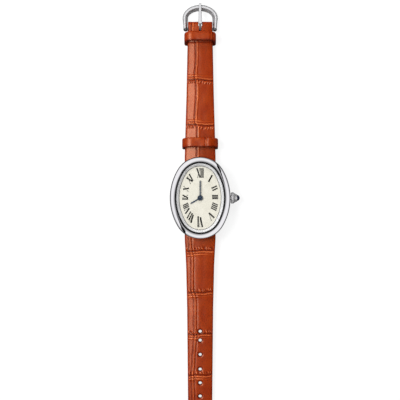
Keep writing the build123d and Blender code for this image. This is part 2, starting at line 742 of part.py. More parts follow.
# Main plate: everything in the movement is carried by it, and the dial rests on its rim
with BuildPart() as main_plate:
    with BuildSketch(Plane.XY.offset(plate_bottom)):
        RectangleRounded(movement_width, movement_length, movement_corner)
    extrude(amount=middle_top - plate_bottom)
    with BuildSketch(Plane.XY.offset(plate_deck)):
        Circle((hour_wheel_teeth / 2 + 2) * motion_module)
        with Locations(minute_wheel_at):
            Circle((minute_wheel_teeth / 2 + 2) * motion_module)
        with Locations(setting_at):
            Circle((setting_teeth / 2 + 2) * motion_module)
    extrude(amount=middle_top - plate_deck, mode=Mode.SUBTRACT)
    clutch_reach = clutch_radius + clutch_room
    box_between(
        (clutch_start - clutch_room, -clutch_reach, plate_bottom),
        (clutch_end + clutch_room, clutch_reach, middle_top),
        mode=Mode.SUBTRACT,
    )
    box_between(
        (clutch_end, lever_pivot_y - lever_reach - lever_width / 2, plate_deck),
        (lever_room_x, lever_room_y, middle_top),
        mode=Mode.SUBTRACT,
    )
    box_between(
        (stem_square_end, lever_pivot_y - lever_reach - lever_width / 2, lever_pin_bottom - slip),
        (lever_room_x, lever_pivot_y - lever_reach + lever_width / 2, middle_top),
        mode=Mode.SUBTRACT,
    )
    with BuildSketch(across(stem_start - slip)):
        Circle(stem_pilot_radius + running)
    extrude(amount=clutch_end - stem_start, mode=Mode.SUBTRACT)
    with BuildSketch(across(stem_square_start - slip)):
        Circle(stem_square * sqrt(2) / 2 + running)
    extrude(amount=clutch_end - stem_square_start, mode=Mode.SUBTRACT)
    with BuildSketch(across(clutch_end)):
        Circle(stem_radius + running)
    extrude(amount=movement_width / 2 - clutch_end + overrun, mode=Mode.SUBTRACT)
    post_height = motion_gap + motion_wheel_thickness
    tube_of(post_radius, 0, plate_deck, post_height + minute_pinion_height, minute_wheel_at)
    tube_of(post_radius, 0, plate_deck, post_height, setting_at)
    round_cut(arbor_radius + running, plate_bottom, plate_deck - plate_bottom)
    round_cut(pivot_radius + running, plate_bottom, pivot_end + slip - plate_bottom, intermediate_at)
    round_cut(rotor_magnet_radius + clutch_room, plate_bottom, rotor_magnet_height + slip, rotor_at)
    rotor_pivot_depth = pivot_end + rotor_magnet_height + slip - plate_bottom
    round_cut(pivot_radius + running, plate_bottom, rotor_pivot_depth, rotor_at)
    battery_depth = battery_bottom + battery_height + slip - plate_bottom
    round_cut(battery_radius + slip, plate_bottom, battery_depth, (battery_x, battery_y))
    coil_top = plate_bottom - core_thickness / 2 + coil_radius
    box_between(
        (-coil_half_length - slip, coil_y - coil_radius - slip, plate_bottom),
        (coil_half_length + slip, coil_y + coil_radius + slip, coil_top + slip),
        mode=Mode.SUBTRACT,
    )
    stator_room = stator_bar_width / 2 + slip
    with BuildSketch(Plane.XY.offset(plate_bottom)):
        with Locations((0, stator_bar_y)):
            Rectangle(2 * core_half_length + 2 * slip, 2 * stator_room)
        with Locations((-core_half_length + stator_bar_width / 2, (stator_bar_y + coil_y) / 2),
                       (core_half_length - stator_bar_width / 2, (stator_bar_y + coil_y) / 2)):
            Rectangle(2 * stator_room, coil_y - stator_bar_y + 2 * stator_room)
        with Locations(rotor_at):
            Circle(stator_pad_radius + slip)
        with Locations((rotor_at[0], (rotor_at[1] + stator_bar_y) / 2)):
            Rectangle(2 * stator_pad_radius + 2 * slip, stator_bar_y - rotor_at[1])
    extrude(amount=core_thickness + slip, mode=Mode.SUBTRACT)
    quartz_height = board_thickness + bridge_bottom + quartz_radius
    with BuildSketch(Plane(origin=(quartz_x - slip, quartz_y, quartz_height), z_dir=(1, 0, 0))):
        Circle(quartz_radius + slip)
    extrude(amount=quartz_length + 2 * slip, mode=Mode.SUBTRACT)
    foot_depth = dial_foot_length + slip
    for foot in ((-dial_foot_x, dial_foot_y), (dial_foot_x, -dial_foot_y)):
        round_cut(dial_foot_radius + slip, middle_top - foot_depth, foot_depth, foot)
    lever_pivot = (lever_pivot_x, lever_pivot_y)
    round_cut(post_radius + running, lever_pin_bottom, plate_deck - lever_pin_bottom, lever_pivot)
    bridge_top = bridge_bottom + bridge_thickness
    for place in bridge_feet:
        tube_of(bridge_width / 2, 0, bridge_top, plate_bottom - bridge_top, place)
        round_cut(bridge_screw_radius, bridge_bottom, plate_deck - bridge_bottom, place)
    board_top = bridge_bottom + board_thickness
    for place in board_feet:
        tube_of(board_foot_radius, 0, board_top, plate_bottom - board_top, place)
        round_cut(bridge_screw_radius, bridge_bottom, plate_deck - bridge_bottom, place)
save(main_plate.part, "main_plate")

# Movement holder: a plastic ring that fills the space between the plate and the middle case
with BuildPart() as holder:
    with BuildSketch(Plane.XY.offset(holder_bottom)):
        oval(cavity_inset + slip)
        Rectangle(2 * case_half_width, 2 * (cavity_half_length - slip), mode=Mode.INTERSECT)
        room_width = movement_width + 2 * slip
        room_length = movement_length + 2 * slip
        RectangleRounded(room_width, room_length, movement_corner, mode=Mode.SUBTRACT)
    extrude(amount=middle_top - holder_bottom)
    with BuildSketch(across(movement_width / 2 - slip)):
        Circle(stem_radius + clutch_room)
    extrude(amount=case_half_width - movement_width / 2, mode=Mode.SUBTRACT)
save(holder.part, "movement_holder")

# Train bridge: a thin plate that holds the lower pivots of the three train wheels
with BuildPart() as train_bridge:
    with BuildSketch(Plane.XY.offset(bridge_bottom)):
        with BuildSketch(mode=Mode.PRIVATE) as bridge_rounds:
            with Locations((0, 0), intermediate_at, rotor_at, *bridge_feet):
                Circle(bridge_width / 2)
        make_hull(bridge_rounds.edges())
        with Locations((0, 0), intermediate_at, rotor_at):
            Circle(pivot_radius + running, mode=Mode.SUBTRACT)
        with Locations(*bridge_feet):
            Circle(bridge_screw_radius + slip, mode=Mode.SUBTRACT)
    extrude(amount=bridge_thickness)
save(train_bridge.part, "train_bridge")

# Movement screws: two through the bridge and two through the circuit board, into the main plate
with BuildPart() as bridge_screws:
    head_bottom = bridge_bottom - bridge_screw_head_height
    for place in (*bridge_feet, *board_feet):
        tube_of(bridge_screw_head_radius, 0, head_bottom, bridge_screw_head_height, place)
        tube_of(bridge_screw_radius, 0, bridge_bottom, bridge_screw_length, place)
        with Locations((place[0], place[1], head_bottom)):
            Box(2 * bridge_screw_head_radius, bridge_screw_slot, bridge_screw_head_height, mode=Mode.SUBTRACT)
save(bridge_screws.part, "movement_screws")

# Circuit board with its chip and its quartz can
with BuildPart() as board:
    with BuildSketch(Plane.XY.offset(bridge_bottom)):
        with Locations((board_x + board_width / 2, board_y + board_length / 2)):
            Rectangle(board_width, board_length)
        with Locations(*board_feet):
            Circle(bridge_screw_radius + slip, mode=Mode.SUBTRACT)
    extrude(amount=board_thickness)
save(board.part, "circuit_board")

with BuildPart() as chip:
    with BuildSketch(level(board_top, (chip_x, chip_y))):
        Rectangle(chip_size, chip_size)
    extrude(amount=chip_height)
save(chip.part, "circuit_chip")

with BuildPart() as quartz:
    with BuildSketch(Plane(origin=(quartz_x, quartz_y, board_top + quartz_radius), z_dir=(1, 0, 0))):
        Circle(quartz_radius)
    extrude(amount=quartz_length)
save(quartz.part, "quartz_can")

# Coil: a winding on a soft iron core whose ends lie on the stator
core_height = plate_bottom - core_thickness / 2
with BuildPart() as coil_core:
    with Locations((0, coil_y, core_height)):
        Box(2 * core_half_length, core_width, core_thickness)
save(coil_core.part, "coil_core")

with BuildPart() as coil:
    with BuildSketch(Plane(origin=(0, coil_y, core_height), x_dir=(0, 1, 0), z_dir=(1, 0, 0))):
        Circle(coil_radius)
        Rectangle(core_width, core_thickness, mode=Mode.SUBTRACT)
    extrude(amount=coil_half_length, both=True)
save(coil.part, "coil")

# Stator: a flat iron yoke that joins both ends of the core and surrounds the rotor
with BuildPart() as stator:
    with BuildSketch(Plane.XY.offset(plate_bottom)):
        with Locations((0, stator_bar_y)):
            Rectangle(2 * core_half_length, stator_bar_width)
        leg_x = core_half_length - stator_bar_width / 2
        with Locations((-leg_x, (stator_bar_y + coil_y) / 2), (leg_x, (stator_bar_y + coil_y) / 2)):
            Rectangle(stator_bar_width, coil_y - stator_bar_y + core_width)
        with Locations(rotor_at):
            Circle(stator_pad_radius)
        with Locations((rotor_at[0], (rotor_at[1] + stator_bar_y) / 2)):
            Rectangle(2 * stator_pad_radius, stator_bar_y - rotor_at[1])
        with Locations(rotor_at):
            Circle(stator_hole_radius, mode=Mode.SUBTRACT)
    extrude(amount=core_thickness)
save(stator.part, "stator")

# Battery: a button cell, its smaller cap towards the case back, held by a springy strip
battery_at = (battery_x, battery_y)
with BuildPart() as battery:
    can_bottom = battery_bottom + battery_cap_height
    tube_of(battery_radius, 0, can_bottom, battery_height - battery_cap_height, battery_at)
    tube_of(battery_cap_radius, 0, battery_bottom, battery_cap_height, battery_at)
save(battery.part, "battery")

with BuildPart() as battery_clamp:
    clamp_end = board_feet[0]
    with BuildSketch(level(bridge_bottom - clamp_thickness)):
        with Locations(((battery_x + clamp_end[0]) / 2, clamp_end[1])):
            SlotOverall(clamp_end[0] - battery_x + 2 * clamp_width, clamp_width)
        with Locations(clamp_end):
            Circle(bridge_screw_head_radius + slip, mode=Mode.SUBTRACT)
    extrude(amount=clamp_thickness)
save(battery_clamp.part, "battery_clamp")

# Clutch wheel: toothed wheel on the stem's square, turned by the crown
with BuildPart() as clutch_wheel:
    clutch_module = clutch_radius / (clutch_teeth / 2 + 0.85)
    with BuildSketch(across(clutch_start)):
        gear(clutch_teeth, clutch_module, 0)
        Rectangle(stem_square + 2 * running, stem_square + 2 * running, mode=Mode.SUBTRACT)
    extrude(amount=clutch_end - clutch_start)
save(clutch_wheel.part, "clutch_wheel")

# Stem: a pilot, a square for the clutch wheel, a groove for the lever and a shank screwed into the crown
groove_at = lever_pivot_x - crown_travel / 2
with BuildPart() as stem:
    with BuildSketch(across(stem_start)):
        Circle(stem_pilot_radius)
    extrude(amount=stem_square_start - stem_start)
    with BuildSketch(across(stem_square_start)):
        Rectangle(stem_square, stem_square)
    extrude(amount=stem_square_end - stem_square_start)
    with BuildSketch(across(stem_square_end)):
        Circle(stem_radius)
    extrude(amount=stem_end - stem_square_end)
    with BuildSketch(across(groove_at - stem_groove_width / 2)):
        Circle(2 * stem_radius)
        Circle(stem_groove_radius, mode=Mode.SUBTRACT)
    extrude(amount=stem_groove_width, mode=Mode.SUBTRACT)
save(stem.part, "stem")

# Setting lever: swings when the crown is pulled, its pin in the stem's groove
lever_drop = sqrt(lever_reach**2 - (crown_travel / 2) ** 2)
lever_pin_at = (groove_at, lever_pivot_y - lever_drop)
with BuildPart() as setting_lever:
    with BuildSketch(level(plate_deck + motion_gap)):
        with BuildSketch(mode=Mode.PRIVATE) as lever_rounds:
            with Locations(lever_pivot, lever_pin_at):
                Circle(lever_width / 2)
        make_hull(lever_rounds.edges())
    extrude(amount=lever_thickness)
    tube_of(lever_pin_radius, 0, lever_pin_bottom, plate_deck + motion_gap - lever_pin_bottom, lever_pin_at)
    pivot_bottom = lever_pin_bottom + slip
    tube_of(post_radius, 0, pivot_bottom, plate_deck + motion_gap - pivot_bottom, lever_pivot)
save(setting_lever.part, "setting_lever")

# Crown tube: pressed into the middle case, it guides the stem and the crown's gasket
with BuildPart() as crown_tube:
    with BuildSketch(across(tube_start)):
        Circle(tube_radius)
        Circle(tube_bore_radius, mode=Mode.SUBTRACT)
    extrude(amount=tube_end - tube_start)
save(crown_tube.part, "crown_tube")

# Crown: turned with a cone behind its widest ring, hollow over the tube, with round flutes for the fingers
with BuildPart() as crown:
    with BuildSketch(stem_cut):
        with BuildLine():
            Polyline((crown_start, 0), (crown_start, crown_face_radius))
            barrel_start = (crown_start + crown_bevel, crown_radius)
            barrel_end = (crown_start + crown_barrel, crown_radius)
            waist_middle = ((crown_start + crown_barrel + crown_end) / 2, crown_waist_radius)
            Polyline((crown_start, crown_face_radius), barrel_start, barrel_end)
            ThreePointArc(barrel_end, waist_middle, (crown_end, crown_neck_radius))
            Polyline((crown_end, crown_neck_radius), (crown_end, 0), (crown_start, 0))
        make_face()
    revolve(axis=stem_axis)
    with BuildSketch(across(crown_start - flute_radius)):
        with PolarLocations(crown_radius, flute_count):
            Circle(flute_radius)
    extrude(amount=crown_end - crown_start, mode=Mode.SUBTRACT)
    with BuildSketch(across(crown_start)):
        Circle(tube_radius + slip)
    extrude(amount=crown_bore_end - crown_start, mode=Mode.SUBTRACT)
    with BuildSketch(across(crown_gasket_start)):
        Circle(crown_gasket_radius)
    extrude(amount=crown_gasket_length, mode=Mode.SUBTRACT)
    with BuildSketch(across(crown_bore_end)):
        Circle(stem_radius)
    extrude(amount=stem_end - crown_bore_end, mode=Mode.SUBTRACT)
    with BuildSketch(across(crown_end - cabochon_seat)):
        Circle(cabochon_radius)
    extrude(amount=cabochon_seat, mode=Mode.SUBTRACT)
save(crown.part, "crown")

# Crown gasket: a rubber ring in the crown that runs on the tube
with BuildPart() as crown_gasket:
    with BuildSketch(across(crown_gasket_start)):
        Circle(crown_gasket_radius)
        Circle(tube_radius + running, mode=Mode.SUBTRACT)
    extrude(amount=crown_gasket_length)
save(crown_gasket.part, "crown_gasket")

# Cabochon: a polished stone set in the end of the crown
with BuildPart() as cabochon:
    with BuildSketch(stem_cut):
        with BuildLine():
            Polyline((crown_end, cabochon_radius), (crown_end - cabochon_seat, cabochon_radius),
                     (crown_end - cabochon_seat, 0), (cabochon_end, 0))
            EllipticalCenterArc((crown_end, 0), cabochon_end - crown_end, cabochon_radius, arc_size=90)
        make_face()
    revolve(axis=stem_axis)
save(cabochon.part, "crown_cabochon")


def spring_bar(side, name):
    """A telescopic bar across a strap notch: a tube with a stepped tip in each end."""
    tube_half = notch_width / 2 - bar_shoulder_gap
    bar_plane = Plane(origin=(0, side * bar_y, bar_height), z_dir=(1, 0, 0))
    with BuildPart() as bar_tube:
        with BuildSketch(bar_plane):
            Circle(bar_tube_radius)
            Circle(bar_tip_radius + slip, mode=Mode.SUBTRACT)
        extrude(amount=tube_half, both=True)
    save(bar_tube.part, name + "_tube")
    with BuildPart() as bar_tips:
        with BuildSketch(bar_plane.offset(tube_half - bar_tip_inside)):
            Circle(bar_tip_radius)
        extrude(amount=bar_tip_inside + bar_shoulder_gap + bar_tip_depth)
        mirror(about=Plane.YZ)
    save(bar_tips.part, name + "_tips")


spring_bar(1, "spring_bar_12")
spring_bar(-1, "spring_bar_6")

def along(place, places, values):
    """The value at one place on straight stretches between the given places."""
    for start in range(len(places) - 1):
        low, high = places[start], places[start + 1]
        if place <= high:
            break
    return values[start] + (values[start + 1] - values[start]) * (place - low) / (high - low)


def strap_body(direction, stations):
    """A padded body through cross-sections, each given as (distance, width, underside, top)."""
    with BuildPart(mode=Mode.PRIVATE) as body:
        faces = []
        for distance, width, underside, top in stations:
            side = width / 2
            crown_side = side - upper_edge_bevel
            across_strap = Plane((0, direction * distance, 0), (-direction, 0, 0), (0, direction, 0))
            with BuildSketch(across_strap) as section:
                with BuildLine() as outline:
                    Polyline((-side, underside), (side, underside), (side, top - upper_edge_bevel),
                             (crown_side, top), (-crown_side, top), (-side, top - upper_edge_bevel),
                             (-side, underside))
                make_face(outline.edges())
            faces.append(section.sketch.faces()[0])
        loft(faces, ruled=True)
    return body.part


# Long strap: tapers to a rounded point and lies down flat, padded over a thin lining,
# with a row of tang holes
long_top_places = (bar_y, long_middle_y, long_strap_reach)
long_tops = (long_top_case, long_top_middle, long_top_end)
long_bottom_places = (bar_y, long_lie_down_y, long_strap_reach)
long_bottoms = (bar_height - eye_radius, 0, 0)
long_stations = (
    (bar_y, strap_width_case),
    (case_half_length, strap_width_case),
    (long_knee_y, long_width_knee),
    (long_middle_y, long_width_middle),
    (long_width_end_y, long_width_end),
    (long_strap_reach, long_width_end),
)
with BuildPart() as long_strap:
    add(strap_body(-1, [
        (place, width, along(place, long_bottom_places, long_bottoms),
         along(place, long_top_places, long_tops))
        for place, width in long_stations
    ]))
    with BuildSketch():
        with BuildLine():
            Polyline((0, -long_strap_reach), (0, -bar_y), (strap_width_case / 2, -bar_y),
                     (strap_width_case / 2, -tip_start_y), (long_width_end / 2, -tip_start_y))
            TangentArc((long_width_end / 2, -tip_start_y), (0, -long_strap_reach), tangent=(0, -1))
        make_face()
        mirror(about=Plane.YZ)
    extrude(amount=long_top_case + overrun, mode=Mode.INTERSECT)
    eye = Plane(origin=(0, -bar_y, bar_height), z_dir=(1, 0, 0))
    with BuildSketch(eye):
        Circle(eye_radius)
    extrude(amount=strap_width_case / 2, both=True)
    with BuildSketch(eye):
        Circle(bar_tube_radius + slip)
    extrude(amount=strap_width_case, both=True, mode=Mode.SUBTRACT)
    for place in strap_hole_places:
        round_cut(tail_hole_radius, 0, long_top_case, (0, -place))
with BuildPart() as long_lining_room:
    with BuildSketch(Plane.YZ):
        with BuildLine():
            low_end = (-long_strap_reach - overrun, lining_thickness)
            Polyline(low_end, (-long_lie_down_y, lining_thickness))
            Line((-long_lie_down_y, lining_thickness), (-bar_y, bar_height - eye_radius + lining_thickness))
            Polyline((-bar_y, bar_height - eye_radius + lining_thickness), (-bar_y, -overrun),
                     (low_end[0], -overrun), low_end)
        make_face()
        with Locations((-bar_y, 0)):
            Rectangle(2 * lining_start, 2 * case_half_width, mode=Mode.SUBTRACT)
    extrude(amount=strap_width_case, both=True)
with BuildPart() as long_lining:
    add(long_strap.part)
    add(long_lining_room.part, mode=Mode.INTERSECT)
save(long_lining.part, "long_strap_lining")
with BuildPart() as long_upper:
    add(long_strap.part)
    add(long_lining_room.part, mode=Mode.SUBTRACT)
save(long_upper.part, "long_strap_upper")

# Short strap: carries the buckle in a folded end with a slot for the tang, over a thin lining
short_top_places = (bar_y, short_middle_y, buckle_bar_y)
short_tops = (short_top_case, short_top_middle, short_top_end)
fold_start = short_strap_end - fold_height / 2
short_stations = (
    (bar_y, strap_width_case),
    (case_half_length, strap_width_case),
    (short_knee_y, short_width_knee),
    (short_middle_y, short_width_middle),
    (fold_start, short_width_end),
    (short_strap_end, short_width_end),
)
with BuildPart() as short_strap:
    add(strap_body(1, [
        (place, width, short_underside, along(min(place, buckle_bar_y), short_top_places, short_tops))
        for place, width in short_stations
    ]))
    with BuildSketch(Plane.YZ):
        with BuildLine():
            Polyline((fold_start, short_top_case), (bar_y, short_top_case), (bar_y, short_underside),
                     (fold_start, short_underside))
            ThreePointArc(
                (fold_start, short_underside),
                (short_strap_end, short_underside + fold_height / 2),
                (fold_start, short_top_end),
            )
            Line((fold_start, short_top_end), (fold_start, short_top_case))
        make_face()
    extrude(amount=strap_width_case, both=True, mode=Mode.INTERSECT)
    short_eye = Plane(origin=(0, bar_y, bar_height), z_dir=(1, 0, 0))
    with BuildSketch(short_eye):
        Circle(eye_radius)
    extrude(amount=strap_width_case / 2, both=True)
    with BuildSketch(short_eye):
        Circle(bar_tube_radius + slip)
    extrude(amount=strap_width_case, both=True, mode=Mode.SUBTRACT)
    with BuildSketch(Plane(origin=(0, buckle_bar_y, buckle_bar_height), z_dir=(1, 0, 0))):
        Circle(buckle_bar_radius + slip)
    extrude(amount=strap_width_case, both=True, mode=Mode.SUBTRACT)
    with BuildSketch():
        for slot_start, slot_width in ((tang_slot_start, tang_neck_width), (wide_slot_start, tang_width)):
            with Locations((0, (slot_start + short_strap_end + overrun) / 2)):
                Rectangle(slot_width + 2 * tang_side_gap, short_strap_end + overrun - slot_start)
    extrude(amount=short_top_case, mode=Mode.SUBTRACT)
lining_top = short_underside + lining_thickness
with BuildPart() as short_lining:
    add(short_strap.part)
    box_between(
        (-strap_width_case, bar_y + lining_start, 0),
        (strap_width_case, tang_slot_start - tang_width, lining_top),
        mode=Mode.INTERSECT,
    )
save(short_lining.part, "short_strap_lining")
with BuildPart() as short_upper:
    add(short_strap.part)
    add(short_lining.part, mode=Mode.SUBTRACT)
save(short_upper.part, "short_strap_upper")


def loop(start, width, inner_width, floor, ceiling):
    """A leather band bent round the strap, open along it."""
    middle = (floor + ceiling) / 2
    band = Plane(origin=(0, start, middle), x_dir=(1, 0, 0), z_dir=(0, -1, 0))
    with BuildPart() as ring:
        with BuildSketch(band):
            outer_width = inner_width + 2 * loop_wall
            outer_height = ceiling - floor + 2 * loop_wall
            RectangleRounded(outer_width, outer_height, loop_corner + loop_wall)
            RectangleRounded(inner_width, ceiling - floor, loop_corner, mode=Mode.SUBTRACT)
        extrude(amount=-width)
    return ring.part


# Fixed loop: stitched under the strap close to the buckle
fixed_ceiling = short_top_end + fixed_loop_tail_room
fixed_loop = loop(fixed_loop_start, fixed_loop_width, fixed_loop_inner, short_underside, fixed_ceiling)
save(fixed_loop, "fixed_loop")

# Free loop: slides along the strap to hold the tail
free_floor = short_underside - free_loop_play
free_ceiling = short_top_case + free_loop_tail_room
free_loop = loop(free_loop_start, free_loop_width, free_loop_inner, free_floor, free_ceiling)
save(free_loop, "free_loop")

# Buckle frame: a bent steel arch whose two arms end in knobs that hold the bar
with BuildPart() as buckle:
    with BuildSketch():
        with BuildLine():
            inner_half = buckle_outer_width / 2 - arch_width
            arm_inner = knob_x - arm_width / 2
            arm_outer = knob_x + arm_width / 2
            EllipticalCenterArc((0, arch_start_y), buckle_outer_width / 2, arch_rise, arc_size=180)
            Line((-buckle_outer_width / 2, arch_start_y), (-arm_outer, buckle_bar_y))
            Line((-arm_outer, buckle_bar_y), (-arm_inner, buckle_bar_y))
            Line((-arm_inner, buckle_bar_y), (-inner_half, arch_start_y))
            EllipticalCenterArc((0, arch_start_y), inner_half, arch_rise - arch_depth, arc_size=180)
            Line((inner_half, arch_start_y), (arm_inner, buckle_bar_y))
            Line((arm_inner, buckle_bar_y), (arm_outer, buckle_bar_y))
            Line((arm_outer, buckle_bar_y), (buckle_outer_width / 2, arch_start_y))
        make_face()
    extrude(amount=buckle_bar_height + arch_top)
    with BuildSketch(Plane.YZ):
        with BuildLine():
            arm_top = buckle_bar_height + arm_width / 2
            arm_bottom = buckle_bar_height - arm_width / 2
            Spline((buckle_bar_y, arm_top), (buckle_end_y, arch_top), tangents=((1, 0), (1, 0)))
            Polyline((buckle_end_y, arch_top), (buckle_end_y, buckle_bottom))
            Spline((buckle_end_y, buckle_bottom), (buckle_bar_y, arm_bottom), tangents=((-1, 0), (-1, 0)))
            Line((buckle_bar_y, arm_bottom), (buckle_bar_y, arm_top))
        make_face()
    extrude(amount=buckle_outer_width / 2 + overrun, both=True, mode=Mode.INTERSECT)
    with Locations((-knob_x, buckle_bar_y, buckle_bar_height), (knob_x, buckle_bar_y, buckle_bar_height)):
        Sphere(knob_radius)
    with BuildSketch(Plane(origin=(0, buckle_bar_y, buckle_bar_height), z_dir=(1, 0, 0))):
        Circle(buckle_bar_radius)
    extrude(amount=knob_x, both=True, mode=Mode.SUBTRACT)
save(buckle.part, "buckle_frame")

# Buckle bar: a straight pin between the knobs, through the strap's fold and the tang's eye
with BuildPart() as buckle_bar:
    with BuildSketch(Plane(origin=(0, buckle_bar_y, buckle_bar_height), z_dir=(1, 0, 0))):
        Circle(buckle_bar_radius)
    extrude(amount=knob_x, both=True)
save(buckle_bar.part, "buckle_bar")

# Tang: a bent tongue whose narrow neck grips the bar through the fold's slot and whose blade,
# lying over the leather, steps down to rest on the arch
with BuildPart() as tang:
    blade_bottom = short_top_end + slip
    blade_top = blade_bottom + tang_thickness
    blade_start = short_strap_end - tang_blade_setback
    rest_bottom = arch_top + slip
    rest_start = arch_start_y + arch_rise - arch_depth
    with BuildSketch(Plane.YZ):
        with BuildLine():
            Polyline(
                (blade_start, blade_bottom),
                (blade_start + tang_step, blade_top),
                (short_strap_end + tang_step, blade_top),
                (rest_start, rest_bottom + tang_thickness),
                (tang_reach - tang_step, rest_bottom + tang_thickness),
                (tang_reach, rest_bottom),
                (rest_start, rest_bottom),
                (short_strap_end + tang_step, blade_bottom),
                close=True,
            )
        make_face()
    extrude(amount=tang_width / 2, both=True)
    with BuildSketch(Plane.YZ):
        with Locations((buckle_bar_y, buckle_bar_height)):
            Circle(tang_eye_radius)
        with BuildLine():
            Polyline(
                (buckle_bar_y, buckle_bar_height + tang_eye_radius),
                (blade_start + tang_step, blade_top),
                (short_strap_end, blade_bottom),
                (buckle_bar_y + tang_eye_radius, buckle_bar_height),
                (buckle_bar_y, buckle_bar_height),
                close=True,
            )
        make_face()
    extrude(amount=tang_neck_width / 2, both=True)
    with BuildSketch(Plane(origin=(0, buckle_bar_y, buckle_bar_height), z_dir=(1, 0, 0))):
        Circle(buckle_bar_radius + slip)
    extrude(amount=tang_width, both=True, mode=Mode.SUBTRACT)
save(tang.part, "buckle_tang")
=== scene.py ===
import bpy, bmesh
from math import atan2, cos, exp, pi, radians, sin, sqrt
from mathutils import Matrix, Vector, noise


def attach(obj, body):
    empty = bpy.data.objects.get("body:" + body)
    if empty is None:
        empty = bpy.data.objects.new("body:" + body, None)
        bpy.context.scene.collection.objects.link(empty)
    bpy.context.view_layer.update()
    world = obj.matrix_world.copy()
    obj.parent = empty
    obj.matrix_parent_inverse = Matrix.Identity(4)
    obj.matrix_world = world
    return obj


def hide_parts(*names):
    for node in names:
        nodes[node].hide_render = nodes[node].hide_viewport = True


# A small oval dress watch with a two-piece leather strap, laid flat with its dial up.
# The origin is the middle of the case back, +Y runs to twelve o'clock and +X to the crown. Blender works in
# metres; the sizes of the pieces are written in millimetres and turned to metres where points are made.
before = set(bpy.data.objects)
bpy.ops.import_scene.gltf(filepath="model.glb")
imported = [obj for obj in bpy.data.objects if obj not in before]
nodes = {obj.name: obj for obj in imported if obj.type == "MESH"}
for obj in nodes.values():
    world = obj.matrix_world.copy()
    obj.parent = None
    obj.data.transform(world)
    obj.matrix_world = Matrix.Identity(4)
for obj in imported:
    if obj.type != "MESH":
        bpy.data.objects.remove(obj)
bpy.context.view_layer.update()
scene = bpy.context.scene
scene.view_settings.view_transform = "Standard"
mm = 0.001

# Camera: straight above the watch, framed so that the long strap runs out at the lower edge.
# The photograph shows 156.7 mm from side to side, with its middle just below the dial's.
shown_width = 156.7 * mm
camera_height = 520 * mm
camera_target = Vector((-0.06 * mm, -0.8 * mm, 1.6 * mm))
sensor_width = 36
camera_data = bpy.data.cameras.new("camera")
camera_data.sensor_width = sensor_width
camera_data.lens = sensor_width * camera_height / shown_width
camera_data.clip_start = 0.01
camera = bpy.data.objects.new("camera", camera_data)
camera.location = camera_target + Vector((0, 0, camera_height))
scene.collection.objects.link(camera)
scene.camera = camera


def make_node(tree, kind, **values):
    """Adds a shader node and sets its properties and its unlinked sockets."""
    node = tree.nodes.new(kind)
    for key, value in values.items():
        if key.startswith("in_"):
            node.inputs[key[3:].replace("_", " ")].default_value = value
        else:
            setattr(node, key, value)
    return node


def spread_of(tree, source, low, high, to_low, to_high):
    """Maps a value from one range to another and returns the new value's socket."""
    spread = make_node(tree, "ShaderNodeMapRange", in_From_Min=low, in_From_Max=high,
                       in_To_Min=to_low, in_To_Max=to_high)
    tree.links.new(source, spread.inputs["Value"])
    return spread.outputs[0]


# Studio: a soft white sky for lighting, with a darker horizon that only shows in polished metal and glass.
# The sky is plain white to the camera, so the background is white. Two soft lamps shape the matt surfaces.
world = bpy.data.worlds.new("studio sky")
scene.world = world
world.use_nodes = True
sky = world.node_tree
sky.nodes.clear()
sky_output = make_node(sky, "ShaderNodeOutputWorld")
sky_path = make_node(sky, "ShaderNodeLightPath")
sky_place = make_node(sky, "ShaderNodeTexCoord")
sky_split = make_node(sky, "ShaderNodeSeparateXYZ")
sky_ramp = make_node(sky, "ShaderNodeValToRGB")
sky_levels = ((0.0, 0.02), (0.2, 0.02), (0.36, 0.1), (0.5, 0.6), (0.8, 0.95), (1.0, 0.95))  # (height, grey)
ramp = sky_ramp.color_ramp
while len(ramp.elements) < len(sky_levels):
    ramp.elements.new(0.5)
for element, (place, grey) in zip(ramp.elements, sky_levels):
    element.position = place
    element.color = (grey, grey, grey * 1.01, 1)
sky_soft = make_node(sky, "ShaderNodeBackground", in_Color=(1, 1, 1, 1), in_Strength=0.62)
sky_shine = make_node(sky, "ShaderNodeBackground")
sky_seen = make_node(sky, "ShaderNodeBackground", in_Color=(1, 1, 1, 1), in_Strength=1.0)
# The mirrored sky is greyer to the upper right and lower left.
sky_slant = make_node(sky, "ShaderNodeVectorMath", operation="DOT_PRODUCT")
sky_slant.inputs[1].default_value = (0.66, 0.75, 0)
sky_slant_size = make_node(sky, "ShaderNodeMath", operation="ABSOLUTE")
sky.links.new(sky_place.outputs["Generated"], sky_slant.inputs[0])
sky.links.new(sky_slant.outputs["Value"], sky_slant_size.inputs[0])
sky.links.new(spread_of(sky, sky_slant_size.outputs[0], 0.15, 0.55, 1.08, 0.68), sky_shine.inputs["Strength"])
sky_mix_shine = make_node(sky, "ShaderNodeMixShader")
sky_mix_seen = make_node(sky, "ShaderNodeMixShader")
sky.links.new(sky_place.outputs["Generated"], sky_split.inputs[0])
sky.links.new(sky_split.outputs["Z"], sky_ramp.inputs[0])
sky.links.new(sky_ramp.outputs["Color"], sky_shine.inputs["Color"])
sky.links.new(sky_path.outputs["Is Glossy Ray"], sky_mix_shine.inputs[0])
sky.links.new(sky_soft.outputs[0], sky_mix_shine.inputs[1])
sky.links.new(sky_shine.outputs[0], sky_mix_shine.inputs[2])
sky.links.new(sky_path.outputs["Is Camera Ray"], sky_mix_seen.inputs[0])
sky.links.new(sky_mix_shine.outputs[0], sky_mix_seen.inputs[1])
sky.links.new(sky_seen.outputs[0], sky_mix_seen.inputs[2])
sky.links.new(sky_mix_seen.outputs[0], sky_output.inputs["Surface"])


